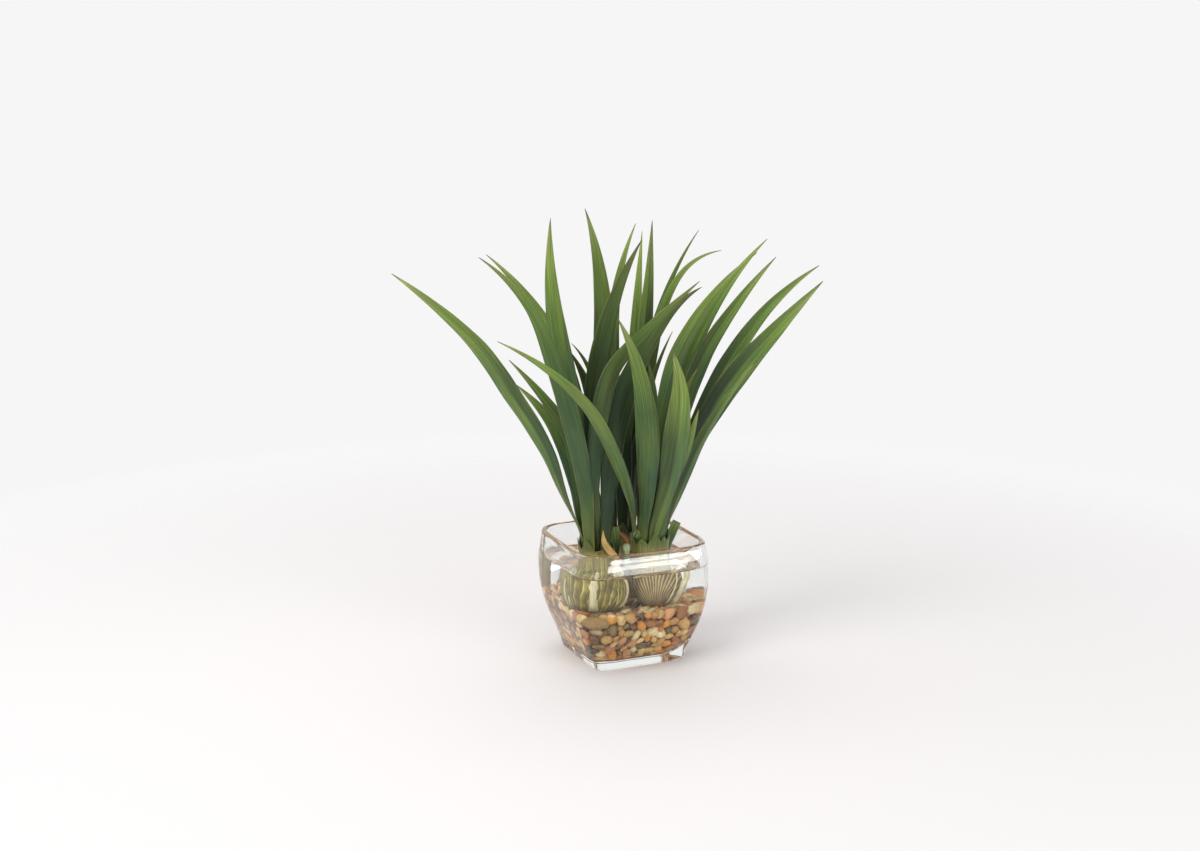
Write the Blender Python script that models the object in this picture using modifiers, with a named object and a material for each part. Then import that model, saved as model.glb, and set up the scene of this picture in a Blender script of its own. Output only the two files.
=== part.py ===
"""Lily grass in a square glass vase: three bulbs set in clear water over pea gravel.

The vase stands on z = 0 with its axis on Z and its front face towards -Y.
The plant is laid out as seen by someone who faces the vase's front left corner:
x to the right, y away, z up. PLANT_TURN turns that layout onto the vase's axes.
"""

import math
import random

import bmesh
import bpy
import numpy as np

MM = 0.001
GAP = 0.3
PLANT_TURN = math.radians(-23.5)

# Vase: (height, half width, squareness) up the outside, then down the inside
RING_POINTS = 40
VASE_OUTSIDE = [
    (0.0, 36.9, 10.0),
    (1.2, 38.1, 10.0),
    (8.0, 40.2, 8.8),
    (20.0, 44.9, 7.4),
    (35.0, 50.8, 6.2),
    (50.0, 54.8, 5.3),
    (65.0, 56.2, 5.4),
    (80.0, 55.7, 5.4),
    (90.0, 54.4, 5.4),
    (94.3, 53.6, 5.4),
]
VASE_LIP = [
    (95.5, 52.6, 5.4),
    (95.5, 51.2, 5.4),
]
VASE_INSIDE = [
    (94.3, 50.2, 5.4),
    (88.0, 50.9, 5.2),
    (76.0, 52.4, 4.9),
    (62.0, 52.3, 5.1),
    (47.0, 50.2, 5.3),
    (33.0, 46.4, 5.5),
    (20.0, 40.8, 5.6),
    (12.0, 35.6, 5.6),
    (8.4, 31.0, 5.4),
    (7.2, 26.0, 5.0),
]

# Gravel and water
GRAVEL_TOP = 44.0
GRAVEL_INSET = 3.0
PEBBLE_REACH = 46.9
WATER_BOTTOM = 47.3
WATER_TOP = 76.0

# Bulbs: place in the plant's layout, widest radius, neck radius, leaf ring radii (outer, middle, inner)
SOCKET_FLOOR = 83.7
NECK_TOP = 90.0
BULBS = {
    "left": {"at": (-20.0, -20.0), "body": 19.5, "neck": 13.4, "rings": (11.0, 7.0, 3.5)},
    "right": {"at": (21.0, -5.0), "body": 20.0, "neck": 14.5, "rings": (12.0, 7.5, 3.5)},
    "back": {"at": (0.0, 27.0), "body": 16.5, "neck": 11.9, "rings": (9.5, 5.5, 3.0)},
}
NECK_WALL = 0.9

# Leaves
LEAF_THICK = 0.8
LEAF_TIP = 1.2
LEAF_FOLD = 0.08
TAPER = 1.4

# Each leaf: ring (0 outer, 1 middle, 2 inner), the side of the neck it grows from, the way its blade faces,
# widest width, width at the root, where along it is widest, then the points it passes, ending at the tip
LEAVES = {
    "left": [
        (0, 190, -115, 15.5, 6.5, 0.58,
         [(-43, -25, 128), (-57, -28, 167), (-81, -32, 209), (-110, -38, 252), (-168, -48, 304)]),
        (0, 145, -105, 14.0, 7.5, 0.50,
         [(-35, -11, 138), (-45, -9, 169), (-59, -7, 192), (-82, -4, 215)]),
        (1, 158, -95, 12.0, 6.0, 0.50,
         [(-32, -18, 139), (-40, -16, 176), (-58, -15, 204), (-86, -13, 235)]),
        (0, 240, -95, 14.5, 9.5, 0.45,
         [(-29, -36, 141), (-37, -42, 187), (-51, -48, 236), (-69, -54, 281), (-104, -60, 317)]),
        (0, 80, -85, 12.5, 9.0, 0.55,
         [(-27, -6, 140), (-36, 0, 202), (-55, 6, 253), (-78, 12, 286), (-104, 18, 311)]),
        (1, 228, -95, 17.0, 6.5, 0.58,
         [(-29, -28, 138), (-40, -29, 207), (-49, -25, 256), (-54, -19, 300), (-54, -12, 341)]),
        (1, 281, -80, 14.0, 5.5, 0.52,
         [(-22, -33.5, 139), (-18, -35, 193), (-8, -36, 231), (18, -33, 261), (56, -27, 296)]),
        (0, 308, -75, 17.0, 8.5, 0.50,
         [(-10, -24.5, 144), (-5, -24, 191), (13, -18, 237), (37, -10, 272), (59, -5, 289)]),
        (0, 30, -85, 16.0, 8.0, 0.60,
         [(-22, -14, 134), (-23, -11, 188), (-17, -5, 240), (-5, 1, 283), (14, 8, 323)]),
    ],
    "right": [
        (0, 203, -110, 11.5, 8.0, 0.45,
         [(5, -24, 129), (-7, -46, 169), (-27, -68, 210), (-54, -84, 239), (-89, -97, 262)]),
        (0, 246, -95, 18.0, 6.8, 0.50,
         [(18, -26, 137), (18, -41, 183), (13, -54, 224), (6, -62, 250), (-5, -70, 275)]),
        (0, 284, -80, 19.0, 6.8, 0.60,
         [(34, -26, 141), (40, -44, 188), (41, -55, 220), (35, -66, 250)]),
        (0, 346, -60, 11.0, 7.0, 0.45,
         [(42, -10, 129), (56, -14, 166), (76, -21, 204), (99, -28, 237)]),
        (0, 24, -75, 19.0, 7.5, 0.60,
         [(41, 0, 133), (58, -4, 176), (83, -10, 220), (116, -17, 261), (147, -26, 296)]),
        (0, 62, -85, 14.0, 7.5, 0.58,
         [(39, 4, 133), (54, 9, 172), (81, 18, 227), (114, 26, 271), (152, 34, 301)]),
        (0, 315, -75, 10.0, 5.0, 0.60,
         [(36, -20, 137), (46, -25, 164), (52, -31, 185), (56, -36, 202)]),
        (1, 268, -80, 13.0, 5.5, 0.60,
         [(26, -11, 142), (30, -15, 193), (40, -17, 237), (65, -17, 281), (99, -15, 316)]),
        (1, 15, -80, 14.0, 6.0, 0.58,
         [(31, 2, 130), (44, 8, 184), (63, 13, 236), (90, 17, 277), (117, 20, 309)]),
        (1, 96, -85, 12.5, 5.0, 0.58,
         [(26, 18, 132), (40, 24, 190), (57, 31, 242), (82, 40, 285), (113, 50, 320)]),
        (1, 218, -80, 12.0, 6.5, 0.55,
         [(16.5, -20, 140), (20.5, -25, 184), (22.5, -28, 211), (18, -31, 238)]),
        (2, 330, -80, 9.0, 5.0, 0.50,
         [(30, -6, 132), (38, -6, 172), (46, -7, 205), (58, -8, 230)]),
    ],
    "back": [
        (0, 180, -75, 17.0, 6.5, 0.60,
         [(-9, 26, 132), (-14, 29, 204), (-15, 35, 266), (-20, 39, 309), (-29, 43, 344)]),
        (0, 127, -80, 11.0, 6.5, 0.60,
         [(-2, 46, 136), (-7, 58, 207), (-5, 64, 274), (11, 74, 330)]),
        (1, 85, -90, 10.0, 5.0, 0.60,
         [(2, 40, 138), (8, 49, 201), (12, 60, 267), (16, 72, 324)]),
        (1, 20, -70, 13.0, 5.0, 0.62,
         [(6, 30, 140), (13, 33, 207), (19, 37, 270), (23, 42, 335)]),
        (0, 52, -65, 8.5, 6.5, 0.50,
         [(7, 46, 136), (16, 62, 202), (34, 78, 271), (62, 92, 323)]),
        (0, 7, -85, 11.0, 7.5, 0.50,
         [(11, 35, 138), (20, 45, 213), (34, 53, 270), (53, 57, 299), (78, 60, 310)]),
        (0, 322, -75, 7.0, 6.0, 0.50,
         [(8, 22, 138), (16, 25, 181), (26, 28, 219), (39, 31, 250)]),
        (1, 150, -85, 9.0, 5.0, 0.50,
         [(-8, 38, 130), (-15, 43, 173), (-25, 50, 215), (-40, 54, 237)]),
        (0, 222, -85, 12.0, 6.5, 0.50,
         [(-10, 18, 134), (-18, 16, 175), (-29, 14, 215), (-41, 12, 238)]),
        (0, 272, -90, 13.0, 7.0, 0.50,
         [(1, 14, 135), (2, 12, 176), (3, 11, 211)]),
    ],
}

# Dried sheaths and cut stubs: the way they face at the foot and at the end, widths at foot, middle and end,
# then the points
STRIPS = {
    "dry_sheath_tan": (
        -80, -60, (3.8, 5.2, 1.2),
        [(-5.5, -30.5, 76.4), (-6.3, -32.2, 87), (-10.3, -34.3, 92.3), (-14, -35.6, 98),
         (-14.9, -36, 108.4)],
    ),
    "dry_sheath_rust": (
        205, -80, (3.4, 5.0, 1.2),
        [(6.0, -12.4, 76.4), (5.2, -12.3, 88), (4.1, -11.0, 94.5), (0.5, -9.5, 98.8), (-6.0, -9.0, 101)],
    ),
    "cut_stub_left": (
        0, -50, (7.6, 8.3, 7.6),
        [(-3.5, -18.5, 76.4), (-3.0, -18.2, 91), (-5.4, -18.0, 106.5)],
    ),
    "cut_stub_right": (
        5, -60, (6.5, 7.5, 6.8),
        [(39.2, -2.2, 76.4), (39.4, -2.0, 90), (42.3, 0.0, 106)],
    ),
}

# Root strands on the bulbs: bulb, radius, then the points
STRANDS = [
    ("left", 1.7,
     [(-19.7, -29.0, 49), (-20.5, -36.5, 51.5), (-22.0, -39.6, 59), (-21.5, -37.6, 68), (-21.0, -33.5, 72)]),
    ("left", 1.3,
     [(-11.5, -25.5, 49), (-3.5, -28.0, 53), (-0.8, -26.0, 61), (-3.0, -25.5, 69), (-7.0, -25.0, 72)]),
    ("left", 1.3,
     [(-28.0, -25.0, 49), (-36.0, -28.2, 53), (-38.4, -27.6, 61), (-36.0, -26.5, 68), (-32.0, -25.0, 72)]),
    ("right", 2.3,
     [(30.0, -10.0, 47), (36.5, -14.5, 51), (41.5, -14.2, 60), (45.0, -11.5, 69), (35.0, -6.5, 72.0)]),
]

scene = bpy.context.scene
for old in list(bpy.data.objects):
    bpy.data.objects.remove(old, do_unlink=True)
scene.unit_settings.system = "METRIC"
scene.unit_settings.scale_length = 1.0

parts = bpy.data.collections.new("lily_grass_in_glass_vase")
helpers = bpy.data.collections.new("cutters")
scene.collection.children.link(parts)
scene.collection.children.link(helpers)


def material(name, colour, roughness, transmission=0.0, ior=1.45):
    made = bpy.data.materials.new(name)
    made.use_nodes = True
    shader = made.node_tree.nodes["Principled BSDF"]
    shader.inputs["Base Color"].default_value = (*colour, 1.0)
    shader.inputs["Roughness"].default_value = roughness
    shader.inputs["Metallic"].default_value = 0.0
    shader.inputs["Transmission Weight"].default_value = transmission
    shader.inputs["IOR"].default_value = ior
    made.diffuse_color = (*colour, 1.0)
    return made


GLASS = material("clear_glass", (0.92, 0.96, 0.95), 0.03, 1.0, 1.5)
WATER = material("set_water", (0.90, 0.95, 0.93), 0.05, 1.0, 1.45)
PEBBLES = material("pea_gravel", (0.42, 0.26, 0.14), 0.55)
BULB_SKIN = material("bulb_skin", (0.17, 0.19, 0.07), 0.5)
BULB_DARK = material("bulb_dark", (0.06, 0.05, 0.03), 0.5)
LEAF_GREEN = material("leaf_green", (0.07, 0.15, 0.05), 0.45)
LEAF_BRIGHT = material("leaf_bright", (0.16, 0.27, 0.06), 0.45)
LEAF_DARK = material("leaf_dark", (0.03, 0.07, 0.03), 0.5)
SHEATH_TAN = material("sheath_tan", (0.55, 0.34, 0.12), 0.6)
SHEATH_RUST = material("sheath_rust", (0.25, 0.10, 0.03), 0.6)
SHOOT_PALE = material("shoot_pale", (0.30, 0.38, 0.20), 0.5)


def keep(obj, look, smooth=True):
    obj.data.materials.clear()
    obj.data.materials.append(look)
    for face in obj.data.polygons:
        face.use_smooth = smooth
    parts.objects.link(obj)
    return obj


def put(obj, place):
    """The object in its collection. Cutters don't render."""
    place.objects.link(obj)
    if place is helpers:
        obj.hide_render = True
        obj.display_type = "WIRE"
    return obj


def object_of(name, points, faces):
    """An object from points in millimetres."""
    mesh = bpy.data.meshes.new(name)
    mesh.from_pydata([tuple(c * MM for c in p) for p in points], [], faces)
    mesh.validate()
    return bpy.data.objects.new(name, mesh)


def boolean(obj, other, operation, solver="EXACT"):
    cut = obj.modifiers.new(operation.lower(), "BOOLEAN")
    cut.operation = operation
    cut.solver = solver
    if isinstance(other, bpy.types.Collection):
        cut.operand_type = "COLLECTION"
        cut.collection = other
    else:
        cut.object = other
    return cut


def applied(obj):
    """The object with its modifiers worked into its mesh."""
    graph = bpy.context.evaluated_depsgraph_get()
    mesh = bpy.data.meshes.new_from_object(obj.evaluated_get(graph))
    obj.modifiers.clear()
    obj.data = mesh
    return obj


def turned(x, y):
    """A place in the plant's layout, on the vase's axes."""
    c = math.cos(PLANT_TURN)
    s = math.sin(PLANT_TURN)
    return c * x - s * y, s * x + c * y


def power(value, exponent):
    return math.copysign(abs(value) ** exponent, value)


def square_ring(z, half, squareness):
    """One rounded-square section, with more points round its corners than along its sides."""
    ring = []
    for i in range(RING_POINTS):
        angle = 2 * math.pi * i / RING_POINTS
        ring.append(
            (
                half * power(math.cos(angle), 2 / squareness),
                half * power(math.sin(angle), 2 / squareness),
                z,
            )
        )
    return ring


def loft(name, rings):
    """A closed solid through rings of equal count, capped at both ends."""
    count = len(rings[0])
    points = [p for ring in rings for p in ring]
    faces = [list(range(count))[::-1]]
    for row in range(len(rings) - 1):
        a = row * count
        b = a + count
        for i in range(count):
            j = (i + 1) % count
            faces.append([a + i, a + j, b + j, b + i])
    last = (len(rings) - 1) * count
    faces.append([last + i for i in range(count)])
    return object_of(name, points, faces)


def inside_ring(z, inset):
    """The section that the cavity has at this height, drawn in by an inset all round."""
    levels = sorted(VASE_INSIDE)
    z = min(max(z, levels[0][0]), levels[-1][0])
    for low, high in zip(levels, levels[1:]):
        if low[0] <= z <= high[0]:
            break
    t = (z - low[0]) / (high[0] - low[0])
    ring = []
    for a, b in zip(square_ring(*low), square_ring(*high)):
        x = a[0] + (b[0] - a[0]) * t
        y = a[1] + (b[1] - a[1]) * t
        reach = math.hypot(x, y)
        scale = (reach - inset) / reach
        ring.append((x * scale, y * scale, z))
    return ring


def room_at(x, y, z, inset):
    """How far along this direction a point may lie and still be inside the cavity."""
    angle = math.atan2(y, x)
    ring = inside_ring(z, inset)
    nearest = min(
        range(RING_POINTS),
        key=lambda i: abs(math.remainder(math.atan2(ring[i][1], ring[i][0]) - angle, 2 * math.pi)),
    )
    best = 1e9
    for other in (nearest - 1, (nearest + 1) % RING_POINTS):
        ax, ay, _ = ring[nearest]
        bx, by, _ = ring[other]
        # where the ray from the axis meets the chord between these two points
        cross = math.cos(angle) * (by - ay) - math.sin(angle) * (bx - ax)
        if abs(cross) < 1e-9:
            continue
        reach = (ax * (by - ay) - ay * (bx - ax)) / cross
        if reach > 0:
            best = min(best, reach)
    return best


# Vase
vase = loft("glass_vase", [square_ring(*level) for level in VASE_OUTSIDE + VASE_LIP + VASE_INSIDE])
keep(vase, GLASS)


def smooth_path(points, count):
    """A smooth curve through the points, evenly spaced along its length."""
    p = np.array(points, float)
    steps = np.linalg.norm(np.diff(p, axis=0), axis=1) ** 0.5
    t = np.concatenate([[0.0], np.cumsum(steps)])
    slope = np.zeros_like(p)
    for i in range(1, len(p) - 1):
        before = (p[i] - p[i - 1]) / (t[i] - t[i - 1])
        after = (p[i + 1] - p[i]) / (t[i + 1] - t[i])
        share = (t[i + 1] - t[i]) / (t[i + 1] - t[i - 1])
        slope[i] = share * before + (1 - share) * after
    slope[0] = 2 * (p[1] - p[0]) / (t[1] - t[0]) - slope[1]
    slope[-1] = 2 * (p[-1] - p[-2]) / (t[-1] - t[-2]) - slope[-2]
    fine = []
    for i in range(len(p) - 1):
        span = t[i + 1] - t[i]
        s = np.linspace(0, 1, 40, endpoint=i == len(p) - 2)[:, None]
        fine.append(
            (2 * s**3 - 3 * s**2 + 1) * p[i]
            + (s**3 - 2 * s**2 + s) * span * slope[i]
            + (3 * s**2 - 2 * s**3) * p[i + 1]
            + (s**3 - s**2) * span * slope[i + 1]
        )
    fine = np.concatenate(fine)
    run = np.concatenate([[0.0], np.cumsum(np.linalg.norm(np.diff(fine, axis=0), axis=1))])
    even = np.linspace(0, run[-1], count)
    return np.stack([np.interp(even, run, fine[:, k]) for k in range(3)], 1)


def ease(value):
    value = np.clip(value, 0, 1)
    return value * value * (3 - 2 * value)


def blade(name, path, foot_face, end_face, widths, look):
    """A folded ribbon along the path, thickened: the face turns from foot_face to end_face."""
    count = len(path)
    along = np.linspace(0, 1, count)
    heading = np.gradient(path, axis=0)
    heading /= np.linalg.norm(heading, axis=1)[:, None]
    swing = math.remainder(end_face - foot_face, 360)
    if abs(swing) > 90:
        swing -= math.copysign(180, swing)
    facing = np.radians(foot_face + swing * ease((along - 0.02) / 0.35))
    face = np.stack([np.cos(facing), np.sin(facing), np.zeros(count)], 1)
    side = np.cross(heading, face)
    side /= np.linalg.norm(side, axis=1)[:, None]
    up = np.cross(side, heading)
    half = widths[:, None] / 2
    lift = up * half * LEAF_FOLD
    rows = np.stack([path - side * half + lift, path - lift, path + side * half + lift], 1)
    points = [(*turned(x, y), z) for x, y, z in rows.reshape(-1, 3)]
    faces = []
    for i in range(count - 1):
        for j in range(2):
            a = 3 * i + j
            b = a + 3
            faces.append([a, a + 1, b + 1])
            faces.append([a, b + 1, b])
    obj = keep(object_of(name, points, faces), look)
    thicken = obj.modifiers.new("thickness", "SOLIDIFY")
    thicken.thickness = LEAF_THICK * MM
    thicken.offset = 0.0
    thicken.use_even_offset = False
    return obj


def leaf(name, bulb, ring, side, facing, widest, root_width, peak, points, look):
    cx, cy = bulb["at"]
    reach = bulb["rings"][ring]
    c = math.cos(math.radians(side))
    s = math.sin(math.radians(side))
    foot = (cx + reach * c, cy + reach * s, SOCKET_FLOOR + GAP + 0.1)
    neck = (cx + (reach + 1.5) * c, cy + (reach + 1.5) * s, SOCKET_FLOOR + 18.3)
    whole = [foot, neck] + points
    length = sum(math.dist(a, b) for a, b in zip(whole, whole[1:]))
    path = smooth_path(whole, 11 + round(length / 50))
    along = np.linspace(0, 1, len(path))
    taper = np.clip((along - peak) / (1 - peak), 0, 1) ** TAPER
    widths = (root_width + (widest - root_width) * ease(along / peak)) * (1 - taper) + LEAF_TIP * taper
    return blade(name, path, side + 180, facing, widths, look)


# Leaves
LOOKS = {"left": LEAF_GREEN, "right": LEAF_BRIGHT, "back": LEAF_DARK}
for bulb_name, rows in LEAVES.items():
    for number, row in enumerate(rows, 1):
        leaf(f"leaf_{bulb_name}_{number:02d}", BULBS[bulb_name], *row, LOOKS[bulb_name])

# Dried sheaths and cut stubs
STRIP_LOOKS = {
    "dry_sheath_tan": SHEATH_TAN,
    "dry_sheath_rust": SHEATH_RUST,
    "cut_stub_left": LEAF_DARK,
    "cut_stub_right": LEAF_GREEN,
}
for strip_name, (foot_face, end_face, strip_widths, strip_points) in STRIPS.items():
    strip_path = smooth_path(strip_points, 8)
    spread = np.interp(np.linspace(0, 1, 8), [0, 0.55, 1], strip_widths)
    blade(strip_name, strip_path, foot_face, end_face, spread, STRIP_LOOKS[strip_name])


def turned_solid(name, profile, at, sides, look, place):
    """A solid of revolution from (radius, height) points that run from the top down."""
    mesh = bpy.data.meshes.new(name)
    points = [(r * MM, 0.0, z * MM) for r, z in profile]
    mesh.from_pydata(points, [(i, i + 1) for i in range(len(points) - 1)], [])
    obj = bpy.data.objects.new(name, mesh)
    x, y = turned(*at)
    obj.location = (x * MM, y * MM, 0)
    spin = obj.modifiers.new("turn", "SCREW")
    spin.angle = 2 * math.pi
    spin.steps = sides
    spin.render_steps = sides
    spin.use_merge_vertices = True
    spin.merge_threshold = 0.00005
    spin.use_normal_calculate = True
    obj.data.materials.append(look)
    return put(obj, place)


def bulb_profile(bulb, swell, socket):
    """The bulb's outline from the neck down; swell grows it all round, for the water's hole."""
    body = bulb["body"]
    neck = bulb["neck"]
    outline = [
        (neck + 0.4, NECK_TOP),
        (neck, 84.0),
        (neck - 0.4, 79.5),
        (body * 0.74, 75.0),
        (body * 0.90, 69.5),
        (body * 0.99, 63.5),
        (body, 58.5),
        (body * 0.90, 52.5),
        (body * 0.66, 47.5),
        (body * 0.36, 44.9),
        (0.0, 44.3),
    ]
    if socket:
        inner = [(0.0, SOCKET_FLOOR), (neck - NECK_WALL, SOCKET_FLOOR), (neck + 0.4 - NECK_WALL, NECK_TOP)]
        return inner + outline
    grown = [(r + swell, z) for r, z in outline[:-1]]
    return [(0.0, NECK_TOP)] + grown + [(0.0, 44.3 - swell)]


def tube(name, radius, points, look, place):
    """A round strand with closed ends along a smooth path."""
    path = smooth_path(points, 7)
    curve = bpy.data.curves.new(name, "CURVE")
    curve.dimensions = "3D"
    curve.bevel_depth = radius * MM
    curve.bevel_resolution = 1
    curve.use_fill_caps = True
    line = curve.splines.new("POLY")
    line.points.add(len(path) - 1)
    for knot, (x, y, z) in zip(line.points, path):
        tx, ty = turned(x, y)
        knot.co = (tx * MM, ty * MM, z * MM, 1.0)
    guide = bpy.data.objects.new(name + "_guide", curve)
    scene.collection.objects.link(guide)
    graph = bpy.context.evaluated_depsgraph_get()
    mesh = bpy.data.meshes.new_from_object(guide.evaluated_get(graph))
    bpy.data.objects.remove(guide, do_unlink=True)
    shape = bmesh.new()
    shape.from_mesh(mesh)
    bmesh.ops.remove_doubles(shape, verts=shape.verts, dist=0.00001)
    bmesh.ops.recalc_face_normals(shape, faces=shape.faces)
    shape.to_mesh(mesh)
    shape.free()
    obj = bpy.data.objects.new(name, mesh)
    mesh.materials.clear()
    mesh.materials.append(look)
    return put(obj, place)


# Water: a block of clear set resin with a hole for each bulb and strand
water_levels = [WATER_BOTTOM, 62.0, WATER_TOP]
water = loft("set_water", [inside_ring(z, GAP + 0.05) for z in water_levels])
keep(water, WATER, smooth=False)
for bulb_name, bulb in BULBS.items():
    hole = turned_solid(
        f"hole_{bulb_name}", bulb_profile(bulb, GAP + 0.1, False), bulb["at"], 24, WATER, helpers
    )
    boolean(water, hole, "DIFFERENCE")
for number, (bulb_name, radius, points) in enumerate(STRANDS, 1):
    groove = tube(f"groove_{number}", radius + GAP + 0.15, points, WATER, helpers)
    boolean(water, groove, "DIFFERENCE")

# Bulbs with their strands
for bulb_name, bulb in BULBS.items():
    skin = BULB_DARK if bulb_name == "back" else BULB_SKIN
    solid = turned_solid(f"bulb_{bulb_name}", bulb_profile(bulb, 0, True), bulb["at"], 24, skin, parts)
    for number, (owner, radius, points) in enumerate(STRANDS, 1):
        if owner == bulb_name:
            strand = tube(f"strand_{number}", radius, points, skin, helpers)
            boolean(solid, strand, "UNION")

# Side shoot between the two front bulbs
turned_solid(
    "side_shoot",
    [(0.0, 94.0), (2.0, 93.4), (3.6, 91.4), (4.0, 88.5), (3.6, 82.0), (3.4, 76.3), (0.0, 76.3)],
    (3.0, -22.0),
    12,
    SHOOT_PALE,
    parts,
)


# Gravel: a core with pebbles set over its sides and top
def pebble(name, centre, size, spin, tilt):
    shape = bmesh.new()
    bmesh.ops.create_icosphere(shape, subdivisions=1, radius=1.0)
    for corner in shape.verts:
        x, y, z = corner.co
        x *= size[0]
        y *= size[1]
        z *= size[2]
        y, z = y * math.cos(tilt) - z * math.sin(tilt), y * math.sin(tilt) + z * math.cos(tilt)
        x, y = x * math.cos(spin) - y * math.sin(spin), x * math.sin(spin) + y * math.cos(spin)
        x += centre[0]
        y += centre[1]
        z += centre[2]
        z = min(max(z, 8.8), PEBBLE_REACH)
        reach = math.hypot(x, y)
        room = room_at(x, y, z, 0.5)
        if reach > room:
            x *= room / reach
            y *= room / reach
        corner.co = (x * MM, y * MM, z * MM)
    mesh = bpy.data.meshes.new(name)
    shape.to_mesh(mesh)
    shape.free()
    return bpy.data.objects.new(name, mesh)


BIG_STONE = ((-39.0, -39.5, 42.3), (10.6, 5.4, 5.0))
chance = random.Random(7)
core_levels = [7.5, 12.0, 20.0, 33.0, GRAVEL_TOP]
gravel = loft("gravel_bed", [inside_ring(z, GRAVEL_INSET)[::2] for z in core_levels])
keep(gravel, PEBBLES, smooth=False)
stones = bpy.data.collections.new("stones")
scene.collection.children.link(stones)
number = 0
for row, level in enumerate((13.5, 22.5, 31.5, 41.0)):
    ring = inside_ring(level, GRAVEL_INSET + 0.6)
    around = sum(math.dist(ring[i], ring[i - 1]) for i in range(RING_POINTS))
    count = round(around / 11.6)
    run = 0.0
    marks = [around * (k + 0.5 * (row % 2)) / count for k in range(count)]
    for i in range(RING_POINTS):
        step = math.dist(ring[i], ring[(i + 1) % RING_POINTS])
        while marks and run + step >= marks[0]:
            t = (marks.pop(0) - run) / step
            x = ring[i][0] + (ring[(i + 1) % RING_POINTS][0] - ring[i][0]) * t
            y = ring[i][1] + (ring[(i + 1) % RING_POINTS][1] - ring[i][1]) * t
            turn = math.atan2(y, x) + math.pi / 2
            size = (chance.uniform(5.2, 6.6), chance.uniform(3.2, 4.0), chance.uniform(4.4, 5.4))
            spot = (x, y, level + chance.uniform(-1.0, 1.0))
            number += 1
            stone = pebble(f"stone_{number}", spot, size, turn, chance.uniform(-0.3, 0.3))
            stones.objects.link(stone)
        run += step
for ix in range(-4, 5):
    for iy in range(-4, 5):
        x = ix * 11.4 + (5.7 if iy % 2 else 0) + chance.uniform(-1.2, 1.2)
        y = iy * 10.4 + chance.uniform(-1.2, 1.2)
        if math.hypot(x, y) > room_at(x, y, GRAVEL_TOP, 5.0):
            continue
        clear = min(
            math.dist((x, y), turned(*bulb["at"])) - 0.72 * bulb["body"] for bulb in BULBS.values()
        )
        if clear < 6.5:
            continue
        size = (chance.uniform(5.0, 6.2), chance.uniform(4.2, 5.2), chance.uniform(3.0, 4.0))
        number += 1
        stone = pebble(
            f"stone_{number}",
            (x, y, GRAVEL_TOP - 0.8),
            size,
            chance.uniform(0, math.pi),
            chance.uniform(-0.2, 0.2),
        )
        stones.objects.link(stone)
stones.objects.link(pebble("big_stone", *BIG_STONE, math.radians(-45), 0.0))
boolean(gravel, stones, "UNION")
applied(gravel)
for stone in list(stones.objects):
    bpy.data.objects.remove(stone, do_unlink=True)
bpy.data.collections.remove(stones)
for face in gravel.data.polygons:
    face.use_smooth = False
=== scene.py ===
"""Looks for the lily grass in a square glass vase: three bulbs set in clear resin over pea gravel.

Lengths are in millimetres until a mesh is made. Leaf and bulb places are written in the plant's layout,
as seen from the photograph's side: x right, y away, z up. PLANT_TURN turns it onto the vase's axes.
"""

import math
import random

import bmesh
import bpy
import numpy as np
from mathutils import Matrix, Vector, noise

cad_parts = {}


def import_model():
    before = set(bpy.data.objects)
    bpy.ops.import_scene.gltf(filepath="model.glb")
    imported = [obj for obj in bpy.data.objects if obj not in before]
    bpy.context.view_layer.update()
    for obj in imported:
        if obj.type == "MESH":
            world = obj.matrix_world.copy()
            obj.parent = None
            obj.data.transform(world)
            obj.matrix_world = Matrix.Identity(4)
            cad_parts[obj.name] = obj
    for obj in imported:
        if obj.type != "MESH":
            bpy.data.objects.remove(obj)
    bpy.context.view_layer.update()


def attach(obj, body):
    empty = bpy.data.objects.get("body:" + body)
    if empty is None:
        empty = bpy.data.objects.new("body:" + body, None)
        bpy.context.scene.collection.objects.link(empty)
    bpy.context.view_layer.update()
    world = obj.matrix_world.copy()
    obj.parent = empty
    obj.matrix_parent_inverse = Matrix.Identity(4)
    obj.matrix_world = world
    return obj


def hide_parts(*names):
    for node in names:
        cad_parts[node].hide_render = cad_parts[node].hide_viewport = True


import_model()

MM = 0.001
PLANT_TURN = math.radians(-23.5)

# Vase: (height, half width, squareness) up the outside, over the lip, down the inside
OUTSIDE = [
    (0.0, 36.9, 10.0), (1.2, 38.1, 10.0), (8.0, 40.2, 8.8), (20.0, 44.9, 7.4),
    (35.0, 50.8, 6.2), (50.0, 54.8, 5.3), (65.0, 56.2, 5.4), (80.0, 55.7, 5.4),
    (90.0, 54.4, 5.4), (94.3, 53.6, 5.4), (95.4, 52.9, 5.4), (95.5, 51.9, 5.4),
    (95.4, 50.9, 5.4),
]
INSIDE = [
    (94.3, 50.2, 5.4), (88.0, 50.9, 5.2), (76.0, 52.4, 4.9), (62.0, 52.3, 5.1),
    (47.0, 50.2, 5.3), (33.0, 46.4, 5.5), (20.0, 40.8, 5.6), (12.0, 35.6, 5.6),
    (8.4, 31.0, 5.4), (7.2, 26.0, 5.0),
]
WATER_TOP = 76.0
GRAVEL_TOP = 44.0

SOCKET_FLOOR = 83.7
BULBS = {
    "left": {"at": (-20.0, -20.0), "body": 19.5, "neck": 13.4, "rings": (11.0, 7.0, 3.5)},
    "right": {"at": (21.0, -5.0), "body": 20.0, "neck": 14.5, "rings": (12.0, 7.5, 3.5)},
    "back": {"at": (0.0, 27.0), "body": 16.5, "neck": 11.9, "rings": (9.5, 5.5, 3.0)},
}

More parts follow.
